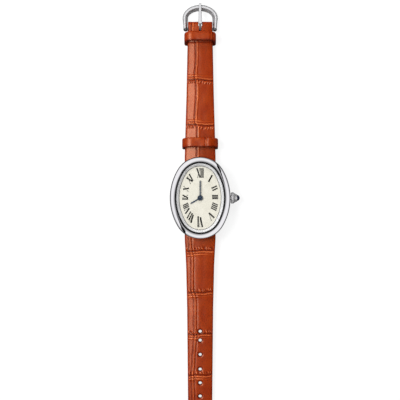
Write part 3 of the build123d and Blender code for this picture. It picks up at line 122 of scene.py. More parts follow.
def soft_lamp(name, place, size, power, lights, mirrored):
    """A square lamp that faces the watch. It lights matt surfaces, shows as a reflection, or both."""
    lamp_data = bpy.data.lights.new(name, "AREA")
    lamp_data.size = size
    lamp_data.energy = power
    lamp = bpy.data.objects.new(name, lamp_data)
    lamp.location = place
    lamp.rotation_euler = (-Vector(place)).to_track_quat("-Z", "Y").to_euler()
    lamp.visible_diffuse = lights
    lamp.visible_glossy = mirrored
    scene.collection.objects.link(lamp)
    return lamp


soft_lamp("left lamp", (-0.28, 0.1, 0.38), 0.26, 2.5, True, False)
soft_lamp("top lamp", (0.15, 0.62, 0.42), 0.3, 2.6, True, False)

# Table: a plain white sheet that still takes the watch's soft shadow. Polished metal sees it as grey.
table_mesh = bpy.data.meshes.new("table")
table_half = 1.5
table_corners = [(-table_half, -table_half, 0), (table_half, -table_half, 0),
                 (table_half, table_half, 0), (-table_half, table_half, 0)]
table_mesh.from_pydata(table_corners, [], [(0, 1, 2, 3)])
table = bpy.data.objects.new("table", table_mesh)
table.location.z = -0.02 * mm
scene.collection.objects.link(table)
table_material = bpy.data.materials.new("white table")
table_material.use_nodes = True
tree = table_material.node_tree
tree.nodes.clear()
table_output = make_node(tree, "ShaderNodeOutputMaterial")
table_paint = make_node(tree, "ShaderNodeBsdfDiffuse", in_Color=(0.9, 0.9, 0.9, 1))
table_glow = make_node(tree, "ShaderNodeEmission", in_Color=(1, 1, 1, 1), in_Strength=1.0)
table_mix = make_node(tree, "ShaderNodeMixShader")
table_path = make_node(tree, "ShaderNodeLightPath")
table_share = make_node(tree, "ShaderNodeMath", operation="MULTIPLY")
table_share.inputs[1].default_value = 0.8
table_dim = make_node(tree, "ShaderNodeEmission", in_Color=(1, 1, 1, 1), in_Strength=0.09)
table_shine = make_node(tree, "ShaderNodeMixShader")
tree.links.new(table_path.outputs["Is Camera Ray"], table_share.inputs[0])
tree.links.new(table_share.outputs[0], table_mix.inputs[0])
tree.links.new(table_paint.outputs[0], table_mix.inputs[1])
tree.links.new(table_glow.outputs[0], table_mix.inputs[2])
tree.links.new(table_path.outputs["Is Glossy Ray"], table_shine.inputs[0])
tree.links.new(table_mix.outputs[0], table_shine.inputs[1])
tree.links.new(table_dim.outputs[0], table_shine.inputs[2])
tree.links.new(table_shine.outputs[0], table_output.inputs["Surface"])
table_mesh.materials.append(table_material)

# Black cards: two narrow strips of black card held on a slant just over the watch. They are only seen as the
# dark lines that they leave in the polished bezel, which cross from its outer edge to its inner one.
card_slant = radians(59)
card_along = Vector((cos(card_slant), sin(card_slant), 0)) * mm
card_across = Vector((sin(card_slant), -cos(card_slant), 0)) * mm
card_middle = Vector((0.7 * mm, 0, 14 * mm))
card_near, card_far, card_half = 4.5, 80, 1.35
card_mesh = bpy.data.meshes.new("black cards")
card_corners = [card_middle + card_along * reach + card_across * side
                for near, far in ((card_near, card_far), (-card_far, -card_near))
                for reach, side in ((near, -card_half), (far, -card_half),
                                    (far, card_half), (near, card_half))]
card_mesh.from_pydata(card_corners, [], [(0, 1, 2, 3), (4, 5, 6, 7)])
cards = bpy.data.objects.new("black cards", card_mesh)
scene.collection.objects.link(cards)
card_material = bpy.data.materials.new("black card")
card_material.use_nodes = True
tree = card_material.node_tree
tree.nodes.clear()
card_output = make_node(tree, "ShaderNodeOutputMaterial")
card_black = make_node(tree, "ShaderNodeBsdfDiffuse", in_Color=(0.01, 0.01, 0.01, 1))
tree.links.new(card_black.outputs[0], card_output.inputs["Surface"])
card_mesh.materials.append(card_material)
cards.visible_camera = cards.visible_diffuse = cards.visible_shadow = cards.visible_transmission = False


def blank_material(name, colour, roughness=0.5, metallic=0.0, specular=0.5, coat=0.0, coat_roughness=0.1):
    """A principled material ready for its procedural detail: returns it, its node tree and its shader."""
    material = bpy.data.materials.new(name)
    material.use_nodes = True
    tree = material.node_tree
    shader = tree.nodes["Principled BSDF"]
    shader.inputs["Base Color"].default_value = (*colour, 1)
    shader.inputs["Roughness"].default_value = roughness
    shader.inputs["Metallic"].default_value = metallic
    shader.inputs["Specular IOR Level"].default_value = specular
    shader.inputs["Coat Weight"].default_value = coat
    shader.inputs["Coat Roughness"].default_value = coat_roughness
    return material, tree, shader


def grain(tree, scale, detail=4.0, stretch=(1, 1, 1)):
    """Noise in the object's own metres, stretched along its axes. Returns the noise value's socket."""
    place = make_node(tree, "ShaderNodeTexCoord")
    spread = make_node(tree, "ShaderNodeMapping")
    spread.inputs["Scale"].default_value = stretch
    speckle = make_node(tree, "ShaderNodeTexNoise")
    speckle.inputs["Scale"].default_value = scale
    speckle.inputs["Detail"].default_value = detail
    tree.links.new(place.outputs["Object"], spread.inputs[0])
    tree.links.new(spread.outputs[0], speckle.inputs["Vector"])
    return speckle.outputs["Fac"]


def ramp_of(tree, source, stops):
    """A colour ramp over a value, with (place, colour) stops. Returns its colour socket."""
    ramp_node = make_node(tree, "ShaderNodeValToRGB")
    elements = ramp_node.color_ramp.elements
    while len(elements) < len(stops):
        elements.new(0.5)
    for element, (place, colour) in zip(elements, stops):
        element.position = place
        element.color = (*colour, 1)
    tree.links.new(source, ramp_node.inputs[0])
    return ramp_node.outputs["Color"]


def roughness_from(tree, shader, source, low, high):
    """Lets a value between 0 and 1 move the shader's roughness from low to high."""
    tree.links.new(spread_of(tree, source, 0, 1, low, high), shader.inputs["Roughness"])


def bump_from(tree, shader, source, depth, strength=1.0):
    """Raises the surface by a value times a depth in metres."""
    bump = make_node(tree, "ShaderNodeBump")
    bump.inputs["Strength"].default_value = strength
    bump.inputs["Distance"].default_value = depth
    tree.links.new(source, bump.inputs["Height"])
    tree.links.new(bump.outputs[0], shader.inputs["Normal"])


def paint_node(name, material):
    """Gives a CAD piece one material all over."""
    mesh = nodes[name].data
    mesh.materials.clear()
    mesh.materials.append(material)


def new_object(name, points, faces, material, smooth=True):
    """A mesh object from corner points in metres."""
    mesh = bpy.data.meshes.new(name)
    mesh.from_pydata(points, [], faces)
    mesh.materials.append(material)
    if smooth:
        mesh.shade_smooth()
    obj = bpy.data.objects.new(name, mesh)
    scene.collection.objects.link(obj)
    return obj


# The case's oval outline: a wide arc down each side and a tighter arc round each end, which meet smoothly.
side_middle, side_radius = 9.7125, 21.5125
end_middle, end_radius = 5.8, 10.2


def oval_place(angle, inset, height):
    """A place on the case's oval outline, moved inwards, where the outline faces the given angle."""
    joint = atan2(end_middle, side_middle)
    up, right = sin(angle), cos(angle)
    if abs(up) < sin(joint):
        middle, radius = (-side_middle if right > 0 else side_middle, 0), side_radius
    else:
        middle, radius = (0, end_middle if up > 0 else -end_middle), end_radius
    x = middle[0] + (radius - inset) * right
    y = middle[1] + (radius - inset) * up
    return (x * mm, y * mm, height * mm)


def oval_ring(name, profile, material, replaced, body):
    """A smooth ring round the case, turned from a closed profile of (inset, height) places."""
    around = 288
    points = [oval_place(2 * pi * turn / around, inset, height)
              for turn in range(around) for inset, height in profile]
    count = len(profile)
    faces = []
    for turn in range(around):
        here, after = turn * count, (turn + 1) % around * count
        for k in range(count):
            faces.append([here + k, here + (k + 1) % count, after + (k + 1) % count, after + k])
    ring = new_object(name, points, faces, material)
    ring.data.set_sharp_from_angle(angle=radians(40))
    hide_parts(replaced)
    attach(ring, body)


def arc_places(middle, radius, start, end, count):
    """Places on an arc, as (inset, height), between two angles in degrees from the inward direction."""
    turns = [radians(start + (end - start) * k / count) for k in range(count + 1)]
    return [(middle[0] + radius * cos(turn), middle[1] + radius * sin(turn)) for turn in turns]


# Bezel metal: stainless steel polished to a mirror, with the faint fine scratches that polishing leaves.
# The crown's tube, pressed into the middle case, is of the same metal.
polished_steel, tree, shader = blank_material("polished steel", (0.83, 0.82, 0.84), 0.08, 1.0)
fine_scratches = grain(tree, 900, 6.0, (1, 0.25, 1))
roughness_from(tree, shader, fine_scratches, 0.03, 0.09)
bump_from(tree, shader, grain(tree, 260, 3.0), 0.004 * mm, 0.5)
paint_node("crown_tube", polished_steel)

# Middle case, crown, buckle frame and tang: the same steel with a softer hand polish, which blurs what it
# mirrors. The CAD pieces keep their turned and milled shapes.
soft_steel, tree, shader = blank_material("hand-polished steel", (0.66, 0.655, 0.665), 0.2, 0.74)
roughness_from(tree, shader, grain(tree, 1100, 5.0), 0.15, 0.27)
bump_from(tree, shader, grain(tree, 500, 3.0), 0.004 * mm, 0.5)
for name in ("middle_case", "crown", "buckle_frame", "buckle_tang"):
    paint_node(name, soft_steel)

# Bezel: one polished ring pressed on the middle case. Its shoulder is full, its crest is domed and it falls
# steeply to a lip round the crystal.
bezel_seat, bezel_inner, bezel_lip_height = 4.5, 2.5, 5.9
crest_inset, shoulder_foot, shoulder_squareness = 1.05, 5.95, 0.7
fall_middle, fall_radius = 5.496, 1.504
bezel_profile = [(bezel_inner, bezel_seat), (0.35, bezel_seat), (0.03, 5.05), (0, 5.12)]
bezel_profile += [(crest_inset - crest_inset * cos(turn) ** shoulder_squareness,
                   shoulder_foot + crest_inset * sin(turn) ** shoulder_squareness)
                  for turn in [radians(90 * k / 14) for k in range(15)]]
bezel_profile += arc_places((crest_inset, fall_middle), fall_radius, 88, 43, 11)
bezel_profile += [(2.16, bezel_lip_height), (bezel_inner, bezel_lip_height)]
oval_ring("bezel_dressed", bezel_profile, polished_steel, "bezel", "case")

# Buckle bar: a turned steel pin, dull and painted dark grey as shade; the frame's knobs and the tang's neck
# too.
# The dark base colour is painted shade for the bar in its gap, the knobs and the tang's neck.
dull_shaded_steel, tree, shader = blank_material("dull steel in painted shade", (0.2, 0.2, 0.205), 0.36, 1.0)
roughness_from(tree, shader, grain(tree, 1200, 4.0), 0.3, 0.45)
bump_from(tree, shader, grain(tree, 1800, 2.0), 0.01 * mm, 0.5)
paint_node("buckle_bar", dull_shaded_steel)

# Case back, its screws, the spring bars, the stem and the battery: steel with a straight satin finish.
satin_steel, tree, shader = blank_material("satin steel", (0.7, 0.69, 0.68), 0.3, 1.0)
brushing = grain(tree, 500, 4.0, (1, 0.04, 1))
roughness_from(tree, shader, brushing, 0.24, 0.42)
bump_from(tree, shader, brushing, 0.01 * mm, 0.6)
for name in ("case_back", "case_back_screws", "spring_bar_12_tube", "spring_bar_12_tips",
             "spring_bar_6_tube", "spring_bar_6_tips", "stem", "battery"):
    paint_node(name, satin_steel)

# Movement: brass wheels and plate, nickel-plated bridge and levers, a winding of enamelled copper, a green
# circuit board with its black chip, and a white holder. All of it is shut in the case.
brass, tree, shader = blank_material("satin brass", (0.72, 0.52, 0.2), 0.3, 1.0)
roughness_from(tree, shader, grain(tree, 700, 3.0, (1, 0.1, 1)), 0.22, 0.4)
for name in ("centre_wheel", "intermediate_wheel", "minute_wheel", "hour_wheel", "main_plate", "dial_washer"):
    paint_node(name, brass)
nickel, tree, shader = blank_material("nickel plate", (0.62, 0.6, 0.55), 0.28, 1.0)
roughness_from(tree, shader, grain(tree, 600, 3.0), 0.2, 0.36)
for name in ("train_bridge", "movement_screws", "battery_clamp", "clutch_wheel", "setting_wheel",
             "setting_lever", "stator", "coil_core", "quartz_can", "rotor"):
    paint_node(name, nickel)
winding, tree, shader = blank_material("enamelled copper wire", (0.55, 0.2, 0.08), 0.3, 0.8)
bump_from(tree, shader, grain(tree, 4000, 1.0, (1, 0.02, 0.02)), 0.03 * mm)
paint_node("coil", winding)
board_green, tree, shader = blank_material("circuit board", (0.03, 0.2, 0.08), 0.45)
roughness_from(tree, shader, grain(tree, 900), 0.35, 0.55)
paint_node("circuit_board", board_green)
black_plastic, tree, shader = blank_material("black moulding", (0.02, 0.02, 0.02), 0.4)
roughness_from(tree, shader, grain(tree, 2000), 0.35, 0.5)
paint_node("circuit_chip", black_plastic)
white_plastic, tree, shader = blank_material("holder moulding", (0.75, 0.74, 0.7), 0.5)
roughness_from(tree, shader, grain(tree, 1500), 0.45, 0.6)
paint_node("movement_holder", white_plastic)

# Gaskets: black rubber rings. The crystal's gasket is squeezed between the bezel's lip and the crystal, and
# its edge shows as a black line round the glass. That ring is drawn wider than the gasket, as painted shade
# and painted reflection of the bezel's dark inner wall.
rubber, tree, shader = blank_material("gasket rubber", (0.01, 0.01, 0.01), 0.6, 0.0, 0.15)
roughness_from(tree, shader, grain(tree, 1500), 0.5, 0.7)
for name in ("case_back_gasket", "crown_gasket"):
    paint_node(name, rubber)
# Wider than the real gasket: the extra black is painted shade and painted reflection.
gasket_profile = [(2.58, 5.93), (2.17, 5.93), (2.17, 6.28), (2.5, 6.28), (2.53, 5.99), (2.58, 5.99)]
oval_ring("gasket_dressed", gasket_profile, rubber, "crystal_gasket", "case")

# Dial: a brass plate with matt cream lacquer, very slightly mottled.
cream, tree, shader = blank_material("cream lacquer", (0.57, 0.54, 0.476), 0.5, 0.0, 0.3)
creams = ((0.3, (0.545, 0.515, 0.45)), (0.7, (0.593, 0.563, 0.502)))
tree.links.new(ramp_of(tree, grain(tree, 350, 5.0), creams), shader.inputs["Base Color"])
bump_from(tree, shader, grain(tree, 3000, 2.0), 0.003 * mm, 0.4)
paint_node("dial", cream)

# Flange ring: the silvered ring that slopes from the crystal down to the dial's edge. Its foot is painted
# dark grey as a painted shadow line where it meets the dial.
silver, foot_shade_grey = (0.66, 0.65, 0.67), (0.09, 0.088, 0.09)
silvered, tree, shader = blank_material("silvered ring", silver, 0.34, 0.25)
roughness_from(tree, shader, grain(tree, 800), 0.28, 0.4)
flange_place = make_node(tree, "ShaderNodeTexCoord")
flange_split = make_node(tree, "ShaderNodeSeparateXYZ")
tree.links.new(flange_place.outputs["Object"], flange_split.inputs[0])
# The lowest part of the ring is painted dark as shadow.
flange_height = spread_of(tree, flange_split.outputs["Z"], 4.9 * mm, 5.4 * mm, 0, 1)
flange_greys = ((0.25, foot_shade_grey), (0.38, silver))
tree.links.new(ramp_of(tree, flange_height, flange_greys), shader.inputs["Base Color"])
flange_profile = [(2.56, 4.9), (2.56, 5.88), (2.8, 5.88), (3.1, 5.6), (3.36, 5.26), (3.52, 5.03),
                  (3.69, 4.96), (3.72, 4.91)]
oval_ring("flange_dressed", flange_profile, silvered, "flange_ring", "case")

# Crystal: a domed mineral glass held by its gasket. Light passes straight through, and only the outer side
# adds reflections.
glass = bpy.data.materials.new("mineral glass")
glass.use_nodes = True
tree = glass.node_tree
tree.nodes.clear()
glass_output = make_node(tree, "ShaderNodeOutputMaterial")
glass_clear = make_node(tree, "ShaderNodeBsdfTransparent", in_Color=(0.985, 0.99, 0.985, 1))
glass_shine = make_node(tree, "ShaderNodeBsdfGlossy", in_Color=(1, 1, 1, 1), in_Roughness=0.02)
glass_rim = make_node(tree, "ShaderNodeFresnel", in_IOR=1.35)
glass_mix = make_node(tree, "ShaderNodeMixShader")
glass_smear = make_node(tree, "ShaderNodeBump")
glass_smear.inputs["Distance"].default_value = 0.002 * mm
glass_smear.inputs["Strength"].default_value = 0.3
tree.links.new(grain(tree, 200, 2.0), glass_smear.inputs["Height"])
tree.links.new(glass_smear.outputs[0], glass_shine.inputs["Normal"])
glass_side = make_node(tree, "ShaderNodeNewGeometry")
glass_front = make_node(tree, "ShaderNodeMath", operation="SUBTRACT")
glass_front.inputs[0].default_value = 1
glass_share = make_node(tree, "ShaderNodeMath", operation="MULTIPLY")
tree.links.new(glass_side.outputs["Backfacing"], glass_front.inputs[1])
tree.links.new(glass_front.outputs[0], glass_share.inputs[0])
tree.links.new(glass_rim.outputs[0], glass_share.inputs[1])
tree.links.new(glass_share.outputs[0], glass_mix.inputs[0])
tree.links.new(glass_clear.outputs[0], glass_mix.inputs[1])
tree.links.new(glass_shine.outputs[0], glass_mix.inputs[2])
tree.links.new(glass_mix.outputs[0], glass_output.inputs["Surface"])
crystal_inset, dome_top, dome_fall, dome_half_width, dome_half_length = 2.52, 7.4, 0.8, 9.6, 13.8
rings, around = 24, 144
points = [oval_place(2 * pi * turn / around, crystal_inset, bezel_lip_height) for turn in range(around)]
for share in [1 - (k / rings) ** 1.5 for k in range(rings)]:
    for turn in range(around):
        x, y = (side * share for side in oval_place(2 * pi * turn / around, crystal_inset, 0)[:2])
        fall = (x / dome_half_width / mm) ** 2 + (y / dome_half_length / mm) ** 2
        points.append((x, y, dome_top * mm - dome_fall * mm * fall))
points.append((0, 0, dome_top * mm))
faces = [[row * around + k, row * around + (k + 1) % around, (row + 1) * around + (k + 1) % around,
          (row + 1) * around + k] for row in range(rings) for k in range(around)]
faces += [[rings * around + k, rings * around + (k + 1) % around, (rings + 1) * around]
          for k in range(around)]
faces.append(list(range(around))[::-1])
dome = new_object("crystal_dressed", points, faces, glass)
dome.data.set_sharp_from_angle(angle=radians(40))
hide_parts("crystal")
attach(dome, "case")

# Hands: thin steel blued by heat, with polished faces; the cannon pinion's cap is blued with them.
blued, tree, shader = blank_material("blued steel", (0.01, 0.035, 0.08), 0.22, 1.0, 0.5, 0.6, 0.1)
blues = ((0.3, (0.007, 0.024, 0.055)), (0.7, (0.014, 0.045, 0.1)))
tree.links.new(ramp_of(tree, grain(tree, 500, 3.0), blues), shader.inputs["Base Color"])
roughness_from(tree, shader, grain(tree, 1500, 3.0, (0.3, 1, 1)), 0.16, 0.3)
for name in ("hour_hand", "minute_hand", "cannon_pinion"):
    paint_node(name, blued)

# Cabochon: a polished dark blue stone in the crown's end.
stone, tree, shader = blank_material("blue stone", (0.002, 0.005, 0.03), 0.08, 0.0, 0.6, 1.0, 0.03)
stone_blues = ((0.3, (0.0005, 0.0015, 0.009)), (0.7, (0.0015, 0.004, 0.024)))
tree.links.new(ramp_of(tree, grain(tree, 900, 4.0), stone_blues), shader.inputs["Base Color"])
paint_node("crown_cabochon", stone)

# Numerals: Roman, printed on the dial in dark grey with their feet to the centre. Each stroke is a thin
# raised film of ink with a serif at either end: (start x, y, end x, y, width) in millimetres.
ink, tree, shader = blank_material("dial ink", (0.004, 0.0035, 0.003), 0.6, 0.0, 0.1)
roughness_from(tree, shader, grain(tree, 2500, 2.0), 0.4, 0.55)
ink_strokes = (
    (-1.27, 11.56, -0.09, 7.99, 0.42), (-0.12, 11.5, -1.06, 7.83, 0.12),
    (0.36, 11.56, 0.36, 7.87, 0.4), (1.08, 11.56, 1.08, 7.87, 0.4),
    (4.67, 8.88, 3.28, 6.26, 0.46),
    (4.42, 3.74, 6.49, 4.68, 0.4), (4.82, 2.86, 6.74, 3.8, 0.4),
    (4.68, 0.96, 6.98, 0.96, 0.36), (4.68, 0.36, 6.98, 0.36, 0.36), (4.68, -0.24, 6.98, -0.24, 0.36),
    (4.8, -1.86, 6.82, -2.8, 0.36), (4.62, -2.54, 6.7, -3.5, 0.36),
    (4.44, -3.2, 6.52, -4.18, 0.36), (4.22, -3.84, 6.28, -4.88, 0.36),
    (3.45, -5.81, 5.44, -7.7, 0.46), (3.4, -5.9, 4.39, -8.85, 0.12),
    (-0.78, -7.2, -0.78, -11.37, 0.44), (0.1, -7.5, 0.86, -11.37, 0.44), (0.04, -7.5, -0.18, -11.2, 0.1),
    (-3.08, -5.9, -4.42, -8.63, 0.36), (-3.7, -5.28, -5.05, -7.9, 0.36),
    (-2.72, -6.53, -3.58, -9.69, 0.44), (-2.8, -6.5, -4.02, -9.1, 0.1),
    (-4.73, -1.99, -6.66, -2.98, 0.34), (-4.5, -2.56, -6.58, -3.67, 0.34),
    (-4.38, -3.19, -6.37, -4.23, 0.34), (-4.2, -3.96, -5.74, -6.12, 0.44), (-4.3, -3.9, -6.2, -4.9, 0.1),
    (-6.94, -0.42, -4.69, -0.42, 0.4), (-6.83, 1.12, -4.73, -0.04, 0.4), (-6.83, -0.04, -4.77, 1.07, 0.12),
    (-6.66, 3.38, -4.35, 3.78, 0.42), (-6.37, 4.62, -4.63, 2.48, 0.12),
    (-4.27, 9.3, -2.88, 6.74, 0.42), (-5.32, 7.87, -2.95, 6.4, 0.42), (-4.86, 8.3, -3.79, 5.48, 0.12),
)
ink_top, ink_foot = 4.935, 4.895
stroke_gain, stroke_bleed = 1.22, 0.02
serif_overhang, serif_width, serif_setback = 0.16, 0.12, 0.06
points, faces = [], []


def ink_bar(start, end, width):
    """One thin flat bar of ink between two places on the dial."""
    run = (end - start).normalized()
    side = Vector((-run.y, run.x)) * width / 2
    first = len(points)
    for height in (ink_foot, ink_top):
        for corner in (start - side, end - side, end + side, start + side):
            points.append((corner.x * mm, corner.y * mm, height * mm))
    faces.append([first + k for k in (4, 5, 6, 7)])
    for k in range(4):
        faces.append([first + k, first + (k + 1) % 4, first + 4 + (k + 1) % 4, first + 4 + k])


for x1, y1, x2, y2, width in ink_strokes:
    start, end = Vector((x1, y1)), Vector((x2, y2))
    run = (end - start).normalized()
    side = Vector((-run.y, run.x)) * (width / 2 + serif_overhang)
    ink_bar(start, end, stroke_gain * width + stroke_bleed)
    for tip, inward in ((start, run), (end, -run)):
        ink_bar(tip + inward * serif_setback - side, tip + inward * serif_setback + side, serif_width)
numerals = new_object("numerals", points, faces, ink, smooth=False)
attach(numerals, "case")

# Leather: glossy red-brown calf pressed with an alligator grain, over a lining of plain tan leather. The
# height of the relief is stored on the mesh as "relief": it darkens the hollows as painted shade and lightens
# the ridges, partly as wear and partly as painted highlight.
leather, tree, shader = blank_material("red-brown leather", (0.3, 0.03, 0.002), 0.36, 0.0, 0.22)
shader.inputs["Specular Tint"].default_value = (1, 0.48, 0.2, 1)
relief_value = make_node(tree, "ShaderNodeAttribute", attribute_name="relief")
pores = grain(tree, 2600, 3.0)
clouds = grain(tree, 160, 3.0)
colour_sum = make_node(tree, "ShaderNodeMath", operation="MULTIPLY_ADD")
colour_sum.inputs[1].default_value = 0.22
tree.links.new(clouds, colour_sum.inputs[0])
tree.links.new(relief_value.outputs["Fac"], colour_sum.inputs[2])
# Low relief gives painted shade in the hollows; high relief gives the ridges a lighter tone, part wear, part
# painted highlight.
leather_colour = ramp_of(tree, colour_sum.outputs[0], (
    (0.0, (0.035, 0.0012, 0.0)), (0.36, (0.1, 0.0045, 0.0)), (0.56, (0.172, 0.0115, 0.0)),
    (0.7, (0.22, 0.022, 0.0003)), (0.95, (0.46, 0.11, 0.035))))
tree.links.new(leather_colour, shader.inputs["Base Color"])
roughness_from(tree, shader, pores, 0.3, 0.44)
bump_from(tree, shader, pores, 0.012 * mm, 0.5)
lining_leather, tree, shader = blank_material("lining leather", (0.3, 0.1, 0.03), 0.62)
tans = ((0.3, (0.25, 0.08, 0.025)), (0.7, (0.36, 0.13, 0.045)))
tree.links.new(ramp_of(tree, grain(tree, 900, 5.0), tans), shader.inputs["Base Color"])
bump_from(tree, shader, grain(tree, 2200, 4.0), 0.02 * mm, 0.6)
for name in ("short_strap_lining", "long_strap_lining"):
    paint_node(name, lining_leather)


def bell(distance, width):
    """A smooth bump of height one."""
    return exp(-(distance / width) ** 2)


def along(place, stops):
    """The value at one place on straight stretches between (place, value) stops in rising order."""
    for (low, low_value), (high, high_value) in zip(stops, stops[1:]):
        if place <= high:
            break
    share = min(max((place - low) / (high - low), 0), 1)
    return low_value + (high_value - low_value) * share


def crease(x, away, seed):
    """The folded band between two scales: pleats above a deep fold, then a ridge and a smaller fold."""
    away = away + 0.14 * sin(0.8 * x + seed) - 0.05 * x + 0.12 * noise.noise(Vector((0.9 * x, seed, 0)))
    waver = 0.8 * noise.noise(Vector((0.7 * x, 3.1, seed)))
    pleats = sin(2 * pi * (0.95 * x + 0.3 * away + waver))
    height = 0.2 * pleats * bell(away - 0.85, 0.5)
    height -= 0.3 * bell(away, 0.19)
    height += 0.17 * bell(away + 0.6, 0.28)
    height -= 0.1 * bell(away + 1.08, 0.14)
    height += 0.25 * bell(away + 1.55, 0.2) * (0.6 - 0.4 * sin(0.5 * x + 0.5 * sin(seed)))
    return height


def furrow(x, line, seed, y):
    """A long furrow with a rounded ridge beside it."""
    away = x - line - 0.1 * noise.noise(Vector((0.2, 0.45 * y, seed)))
    return 0.1 * bell(away + 0.5, 0.3) - 0.22 * bell(away, 0.18) - 0.2 * bell(away + 1.25, 0.18)


# The strap's eyes: each half is rolled round a spring bar this far from the middle and this high. The
# relief starts where the leather comes out from under the bezel.
bar_place, bar_height, eye_radius, bar_bore = 12.25, 2.35, 1.45, 0.8
relief_start, relief_run = 14.6, 1.6


def eye_underside(past):
    """The underside of the rolled eye, a given distance past the spring bar."""
    return bar_height - sqrt(max(eye_radius ** 2 - past ** 2, 0))


def strap_mesh(name, stations, underside, tops, widths, relief, lean, nose):
    """A padded strap half: a closed tube of cross-sections with relief on its leaning upper side."""
    across, below = 56, 9
    points, faces, relief_values = [], [], []
    for y in stations:
        half = along(y, widths) * nose(y)
        top = along(y, tops)
        low = underside(y)
        past = bar_place - abs(y)
        if past > -0.4:
            top = min(top, bar_height + sqrt(max(eye_radius ** 2 - max(past, 0) ** 2, 0)))
        fade = min(max(abs(y) - relief_start, 0) / relief_run, 1)
        for k in range(across + 1):
            u = sin(pi / 2 * (2 * k / across - 1))
            x = half * u
            height = relief(x, y) * (1 - abs(u) ** 12) * fade if top - low > 1 else 0
            fall = 0.34 * u * u + 0.5 * abs(u) ** 26 + (lean(x, y) if top - low > 1 else 0)
            points.append((x * mm, y * mm, max(top - fall + height, low) * mm))
            relief_values.append(min(max(0.5 + 1.6 * height, 0), 1))
        for k in range(below):
            points.append((half * (1 - 2 * k / (below - 1)) * mm, y * mm, low * mm))
            relief_values.append(0.45)
    ring = across + 1 + below
    for row in range(len(stations) - 1):
        for k in range(ring):
            after = (k + 1) % ring
            faces.append([row * ring + k, row * ring + after, (row + 1) * ring + after, (row + 1) * ring + k])
    last = (len(stations) - 1) * ring
    faces.append(list(range(ring))[::-1])
    faces.append([last + k for k in range(ring)])
    obj = new_object(name, points, faces, leather)
    layer = obj.data.attributes.new("relief", "FLOAT", "POINT")
    layer.data.foreach_set("value", relief_values)
    return obj


def drill(obj, bores, slots=()):
    """Cuts round bores, each given as its middle, axis, radius and length, and box-shaped slots.
    The cuts of one call stay apart from each other."""
    shape = bmesh.new()
    for middle, size in slots:
        stretch = Matrix.Diagonal((*[length * mm for length in size], 1))
        bmesh.ops.create_cube(shape, size=1, matrix=Matrix.Translation(Vector(middle) * mm) @ stretch)
    for middle, axis, radius, length in bores:
        turn = Vector(axis).to_track_quat("Z", "Y").to_matrix().to_4x4()
        place = Matrix.Translation(Vector(middle) * mm) @ turn @ Matrix.Rotation(0.07, 4, "Z")
        bmesh.ops.create_cone(shape, cap_ends=True, segments=40, radius1=radius * mm, radius2=radius * mm,
                              depth=length * mm, matrix=place)
    mesh = bpy.data.meshes.new("drill")
    shape.to_mesh(mesh)
    shape.free()
    mesh.materials.append(leather)
    tool = bpy.data.objects.new("drill", mesh)
    scene.collection.objects.link(tool)
    cut = obj.modifiers.new("bores", "BOOLEAN")
    cut.object = tool
    cut.operation = "DIFFERENCE"
    cut.solver = "EXACT"
    graph = bpy.context.evaluated_depsgraph_get()
    finished = bpy.data.meshes.new_from_object(obj.evaluated_get(graph))
    obj.modifiers.clear()
    obj.data = finished
    bpy.data.objects.remove(tool)


def steps(start, end, pitch):
    """Evenly spaced places from start to end."""
    count = max(1, round(abs(end - start) / pitch))
    return [start + (end - start) * k / count for k in range(count + 1)]


# Long strap: the upper leather of the hole side. Creases cross it every 16 mm and a furrow wanders
# left of the middle; the tail ends in a rounded point and carries eight punched holes.
long_tip, nose_start, lining_thickness = -111, -104, 0.5
long_creases = (-20.6, -37.0, -53.3, -69.3, -85.6, -101.6)
long_furrow = ((long_tip, -2.2), (-102, -2.6), (-86, -1.6), (-70, -2.4), (-54, -1.2), (-39, -1.3),
               (-36.5, -2.4), (-23, -2.4), (-20, -3.2), (-14, -3.4))
long_holes = (-52.2, -55.7, -61.3, -67.05, -72.4, -77.6, -83.1, -88.6)


def long_relief(x, y):
    height = sum(crease(x, y - place, place) for place in long_creases if abs(y - place) < 3)
    height += furrow(x, along(y, long_furrow), 1.7, y)
    height += 0.05 * noise.noise(Vector((0.5 * x, 0.22 * y, 9)))
    for place in long_holes:
        height -= 0.28 * bell(max(sqrt(x * x + (y - place) ** 2) - 0.64, 0), 0.32)
    return height


def long_lean(x, y):
    return 0.2 * max(along(y, long_furrow) - 1.25 - x, 0) * min((y - long_tip) / 8, 1)


def long_nose(y):
    reach = (nose_start - y) / (nose_start - long_tip)
    return sqrt(max(1 - reach * reach, 0)) * 0.55 + 0.45 * (1 - reach) + 0.003 if y < nose_start else 1


def long_underside(y):
    if y > -bar_place:
        return eye_underside(bar_place + y)
    base = along(y, ((-26, 0), (-bar_place, 0.9)))
    return base if y > -16.25 else base + lining_thickness


long_places = steps(long_tip, nose_start, 0.12) + steps(nose_start, -16.26, 0.25)[1:] \
    + steps(-16.24, -bar_place, 0.25) + [-bar_place + eye_radius * sin(pi / 2 * k / 10) for k in range(1, 11)]
long_tops = ((long_tip, 2.0), (-43, 2.9), (-bar_place, 3.75))
long_half_widths = ((nose_start, 4.7), (-84, 4.7), (-43, 5.1), (-26, 5.5), (-16, 6.03), (-bar_place, 6.03))
long_upper = strap_mesh("long_strap_leather", long_places, long_underside, long_tops, long_half_widths,
                        long_relief, long_lean, long_nose)
drill(long_upper, [((0.013, place, 1.5), (0, 0, 1), 0.65, 5) for place in long_holes]
      + [((0, -bar_place, bar_height), (1, 0, 0), bar_bore, 14)])
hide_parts("long_strap_upper")
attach(long_upper, "long_strap")

# Short strap: the upper leather of the buckle side, with two creases, a furrow with a ridge left of the
# middle that the relief lightens, and a folded end that holds the buckle's bar and leaves a slot for the
# tang. Under the fixed loop a shallow dent is pressed in, and the relief darkens it as the loop's painted
# shadow.
buckle_bar_place, buckle_bar_height, buckle_bar_bore = 66, 1.95, 0.6
fold_start, fold_radius, fold_height = 67.91, 1.05, 2.05
loop_shadow_dent = 61.05
short_creases = (28.4, 46.1)
short_furrow = ((12, -1.4), (26, -1.1), (28, -1.3), (29.5, -2.2), (34, -2.0), (40, -1.6), (44.5, -1.6),
                (47.5, -2.3), (54, -1.7), (61, -1.8), (64.5, -3.5), (69, -3.4))


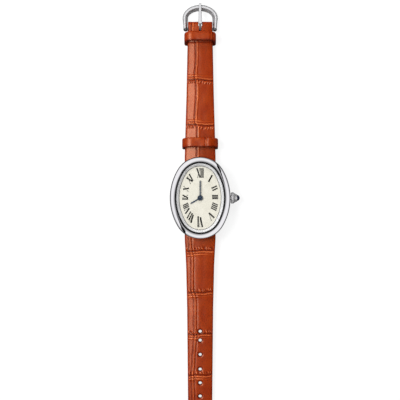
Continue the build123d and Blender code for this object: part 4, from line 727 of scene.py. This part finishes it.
def short_relief(x, y):
    height = sum(crease(x, place - y, place) for place in short_creases if abs(y - place) < 3)
    away = x - along(y, short_furrow) - 0.1 * noise.noise(Vector((0.2, 0.45 * y, 5)))
    # The dent under the fixed loop also darkens the relief there, as the loop's painted shadow.
    height += 0.2 * bell(away - 0.62, 0.21) - 0.24 * bell(away, 0.2) - 0.12 * bell(y - loop_shadow_dent, 0.4)
    return height + 0.05 * noise.noise(Vector((0.5 * x, 0.22 * y, 4)))


def short_lean(x, y):
    return 0.16 * max(along(y, short_furrow) - x, 0)


def short_underside(y):
    if y < bar_place:
        return eye_underside(bar_place - y)
    if y < 16.25 or y > 63.6:
        fold = max(y - fold_start, 0)
        return fold_height - sqrt(max(fold_radius ** 2 - fold ** 2, 0)) if fold else 1.0
    return 1.0 + lining_thickness


short_places = [bar_place - eye_radius * cos(pi / 2 * k / 10) for k in range(10)] \
    + steps(bar_place, 16.24, 0.25) + steps(16.26, 63.59, 0.25) + steps(63.61, 67.9, 0.25) \
    + [fold_start + 1.049 * sin(pi / 2 * k / 10) for k in range(1, 11)]
short_tops = ((bar_place, 3.75), (40, 3.35), (66, 3.1), (67.9, 3.1), (68.4, 2.97), (68.8, 2.6), (68.96, 2.1))
short_half_widths = ((bar_place, 6.03), (16, 6.03), (23, 5.85), (40, 5.35), (68.96, 4.75))
short_upper = strap_mesh("short_strap_leather", short_places, short_underside, short_tops, short_half_widths,
                         short_relief, short_lean, lambda y: 1)
drill(short_upper, [((0, bar_place, bar_height), (1, 0, 0), bar_bore, 14),
                    ((0, buckle_bar_place, buckle_bar_height), (1, 0, 0), buckle_bar_bore, 14)])
for tang_slot in (((0, 67.9, 2.5), (0.8, 6, 6)), ((0, 69.2, 2.5), (1.4, 4, 6))):
    drill(short_upper, [], [tang_slot])
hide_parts("short_strap_upper")
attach(short_upper, "short_strap")

# Loops: two leather bands that hold the strap's tail. The fixed loop sits close to the buckle and the
# free loop slides on the short strap. Each is one band turned round and glued under the strap, and its top
# leans a little towards the buckle. The edge that faces the case is darkened as painted shade.
def band(name, start, end, inner_width, floor, ceiling, shoulder, lean, line, replaced, body):
    """A leather band round the strap with rounded corners and one furrowed line across its upper face."""
    wall, foot = 0.85, 0.68
    half = inner_width / 2 + wall / 2
    low, high = floor - wall / 2, ceiling + wall / 2
    path = []
    for side, up, corner, turn in ((1, 1, shoulder, 0), (-1, 1, shoulder, 90), (-1, -1, foot, 180),
                                   (1, -1, foot, 270)):
        middle_x = side * (half - corner)
        middle_z = high - corner if up > 0 else low + corner
        for angle in [radians(turn + 6 * k) for k in range(16)]:
            path.append((middle_x + corner * cos(angle), middle_z + corner * sin(angle), angle))
        if turn in (0, 180):
            path += [(middle_x * (1 - k / 24), path[-1][1], path[-1][2]) for k in range(1, 48)]
    points, faces, relief_values = [], [], []
    around = 40
    for x, z, turn in path:
        for k in range(around):
            angle = 2 * pi * k / around
            out = abs(sin(angle)) ** 0.5 * (1 if sin(angle) > 0 else -1)
            away = abs(cos(angle)) ** 0.35 * (1 if cos(angle) > 0 else -1)
            y = (start + end) / 2 + away * (end - start) / 2
            height = 0.0
            if out > 0 and sin(turn) > 0.7:
                off = x - line - 0.12 * noise.noise(Vector((0.3, 0.7 * y, line)))
                height += 0.13 * bell(off, 0.14) - 0.14 * bell(off + 0.36, 0.14) - 0.1 * bell(off - 0.4, 0.16)
                height += 0.08 * noise.noise(Vector((0.5 * x, 0.8 * y, start)))
            reach = wall / 2 * out + (min(height, 0.08) if out > 0 else 0)
            rise = z + reach * sin(turn)
            points.append(((x + reach * cos(turn)) * mm, (y + lean * (rise - high)) * mm, rise * mm))
            # The lower edge, towards the case, is darkened with painted shade.
            relief_values.append(min(max(0.52 + 1.6 * height - 0.45 * bell(y - start, 0.4), 0), 1))
    for row in range(len(path)):
        here, after = row * around, (row + 1) % len(path) * around
        for k in range(around):
            faces.append([here + k, after + k, after + (k + 1) % around, here + (k + 1) % around])
    loop = new_object(name, points, faces, leather)
    layer = loop.data.attributes.new("relief", "FLOAT", "POINT")
    layer.data.foreach_set("value", relief_values)
    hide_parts(replaced)
    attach(loop, body)


band("fixed_loop_dressed", 61.28, 64.88, 10.7, 1.0, 5.2, 2.5, 0.3, 4.25, "fixed_loop", "short_strap")
band("free_loop_dressed", 19.8, 23.5, 12.35, 0.9, 5.65, 3.2, 0.13, 2.4, "free_loop", "free_loop_group")

# Leather lamp: a soft cool lamp high on the left. It only puts a broad sheen on the two upper leathers and
# the two loops.
leather_lamp = soft_lamp("leather lamp", (-0.22, 0.02, 0.42), 0.22, 11.0, False, True)
leather_lamp.data.color = (0.5, 0.625, 1)
leather_pieces = bpy.data.collections.new("leather pieces")
for name in ("long_strap_leather", "short_strap_leather", "fixed_loop_dressed", "free_loop_dressed"):
    leather_pieces.objects.link(bpy.data.objects[name])
leather_lamp.light_linking.receiver_collection = leather_pieces

# Buckle frame: cast steel, polished by hand, with round knobs where the bar goes through, which are dull and
# painted dark as shade. Its arms rise from the knobs and spread into the arch, whose crest is round outside
# and falls steeply inside. From the knobs to the arch the underside drops and the section grows taller.
knob_side, knob_radius, arm_side, arch_start, arch_reach, rise_length = 5.72, 0.85, 5.85, 70.4, 4.125, 6.8


def buckle_section(u, across, tall, low):
    """A place on the frame's section as (outward, height): u runs once round from 0 to 1."""
    corners = ((0.5, 0.0), (0.92, 0.12), (1.0, 0.45), (0.86, 0.82), (0.5, 0.98), (0.14, 1.0), (-0.14, 0.93),
               (-0.45, 0.62), (-0.9, 0.14), (-0.85, 0.0))
    place = u * len(corners)
    k, share = int(place), place - int(place)
    before, start, end, after = (corners[(k + step) % len(corners)] for step in (-1, 0, 1, 2))
    blend = []
    for axis in (0, 1):
        a, b, c, d = before[axis], start[axis], end[axis], after[axis]
        bend = share * (2 * a - 5 * b + 4 * c - d + share * (3 * (b - c) + d - a))
        blend.append(b + 0.5 * share * (c - a + bend))
    return blend[0] * across / 2, low + blend[1] * tall


def arm_place(side, share, turn):
    """A place on an arm, from the knob at share 0 to the arch at share 1: (x, y, thickness, turn)."""
    return (side * (knob_side + (arm_side - knob_side) * share),
            buckle_bar_place + (arch_start - buckle_bar_place) * share, 1.45 + 0.65 * share, turn)


path = [arm_place(1, k / 12, 0.0) for k in range(13)]
for k in range(1, 30):
    turn = pi * k / 30
    across = 2.1 + 0.25 * sin(turn) ** 2
    path.append((arm_side * cos(turn), arch_start + arch_reach * sin(turn), across, turn))
path += [arm_place(-1, k / 12, pi) for k in range(12, -1, -1)]
points, faces = [], []
around = 40
for x, y, across, turn in path:
    outward = Vector((cos(turn) / arm_side, sin(turn) / arch_reach)).normalized()
    rise = min((y - buckle_bar_place) / rise_length, 1)
    rise = rise * rise * (3 - 2 * rise)
    low = 1.22 - 1.17 * rise
    tall = 1.46 + 0.69 * rise
    for k in range(around):
        out, z = buckle_section(k / around, across, tall, low)
        points.append(((x + out * outward.x) * mm, (y + out * outward.y) * mm, z * mm))
for row in range(len(path) - 1):
    for k in range(around):
        here, after = row * around, (row + 1) * around
        faces.append([here + k, here + (k + 1) % around, after + (k + 1) % around, after + k])
faces.append(list(range(around))[::-1])
faces.append([(len(path) - 1) * around + k for k in range(around)])
frame_loop = new_object("buckle_dressed", points, faces, soft_steel)
frame_loop.data.materials.append(dull_shaded_steel)
shape = bmesh.new()
shape.from_mesh(frame_loop.data)
frame_faces = len(shape.faces)
for side in (-1, 1):
    place = Matrix.Translation(Vector((knob_side * side, buckle_bar_place, buckle_bar_height)) * mm)
    bmesh.ops.create_uvsphere(shape, u_segments=32, v_segments=20, radius=knob_radius * mm, matrix=place)
shape.faces.ensure_lookup_table()
for face in shape.faces:
    face.smooth = True
    # The knobs take the dull steel painted dark as shade.
    face.material_index = 0 if face.index < frame_faces else 1
shape.to_mesh(frame_loop.data)
shape.free()
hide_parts("buckle_frame")
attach(frame_loop, "buckle")

# Tang: the tongue of the same steel, bent round the bar. Its blade's edges are rounded over, and it is drawn
# narrower where it rests on the arch. The neck is dull and painted dark as shade.
arch_rest, blade_start, neck_end, blade_rounding, tip_narrowing = 73, 67.8, 67.95, 0.24, 0.7
shape = bmesh.new()
shape.from_mesh(nodes["buckle_tang"].data)
shape.transform(nodes["buckle_tang"].matrix_world)
bmesh.ops.remove_doubles(shape, verts=shape.verts, dist=0.001 * mm)
bmesh.ops.dissolve_limit(shape, angle_limit=radians(1), verts=shape.verts, edges=shape.edges)
for corner in shape.verts:
    if corner.co.y > arch_rest * mm:
        corner.co.x *= tip_narrowing
blade_edges = [edge for edge in shape.edges if min(corner.co.y for corner in edge.verts) > blade_start * mm
               and edge.is_manifold and edge.calc_face_angle() > radians(30)]
bmesh.ops.bevel(shape, geom=blade_edges, offset=blade_rounding * mm, segments=4, profile=0.5,
                affect="EDGES", clamp_overlap=True)
tang = new_object("tang_dressed", [], [], soft_steel)
tang.data.materials.append(dull_shaded_steel)
for face in shape.faces:
    face.smooth = True
    # The neck takes the dull steel painted dark as shade.
    face.material_index = 1 if face.calc_center_median().y < neck_end * mm else 0
shape.to_mesh(tang.data)
shape.free()
tang.data.set_sharp_from_angle(angle=radians(50))
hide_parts("buckle_tang")
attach(tang, "tang")
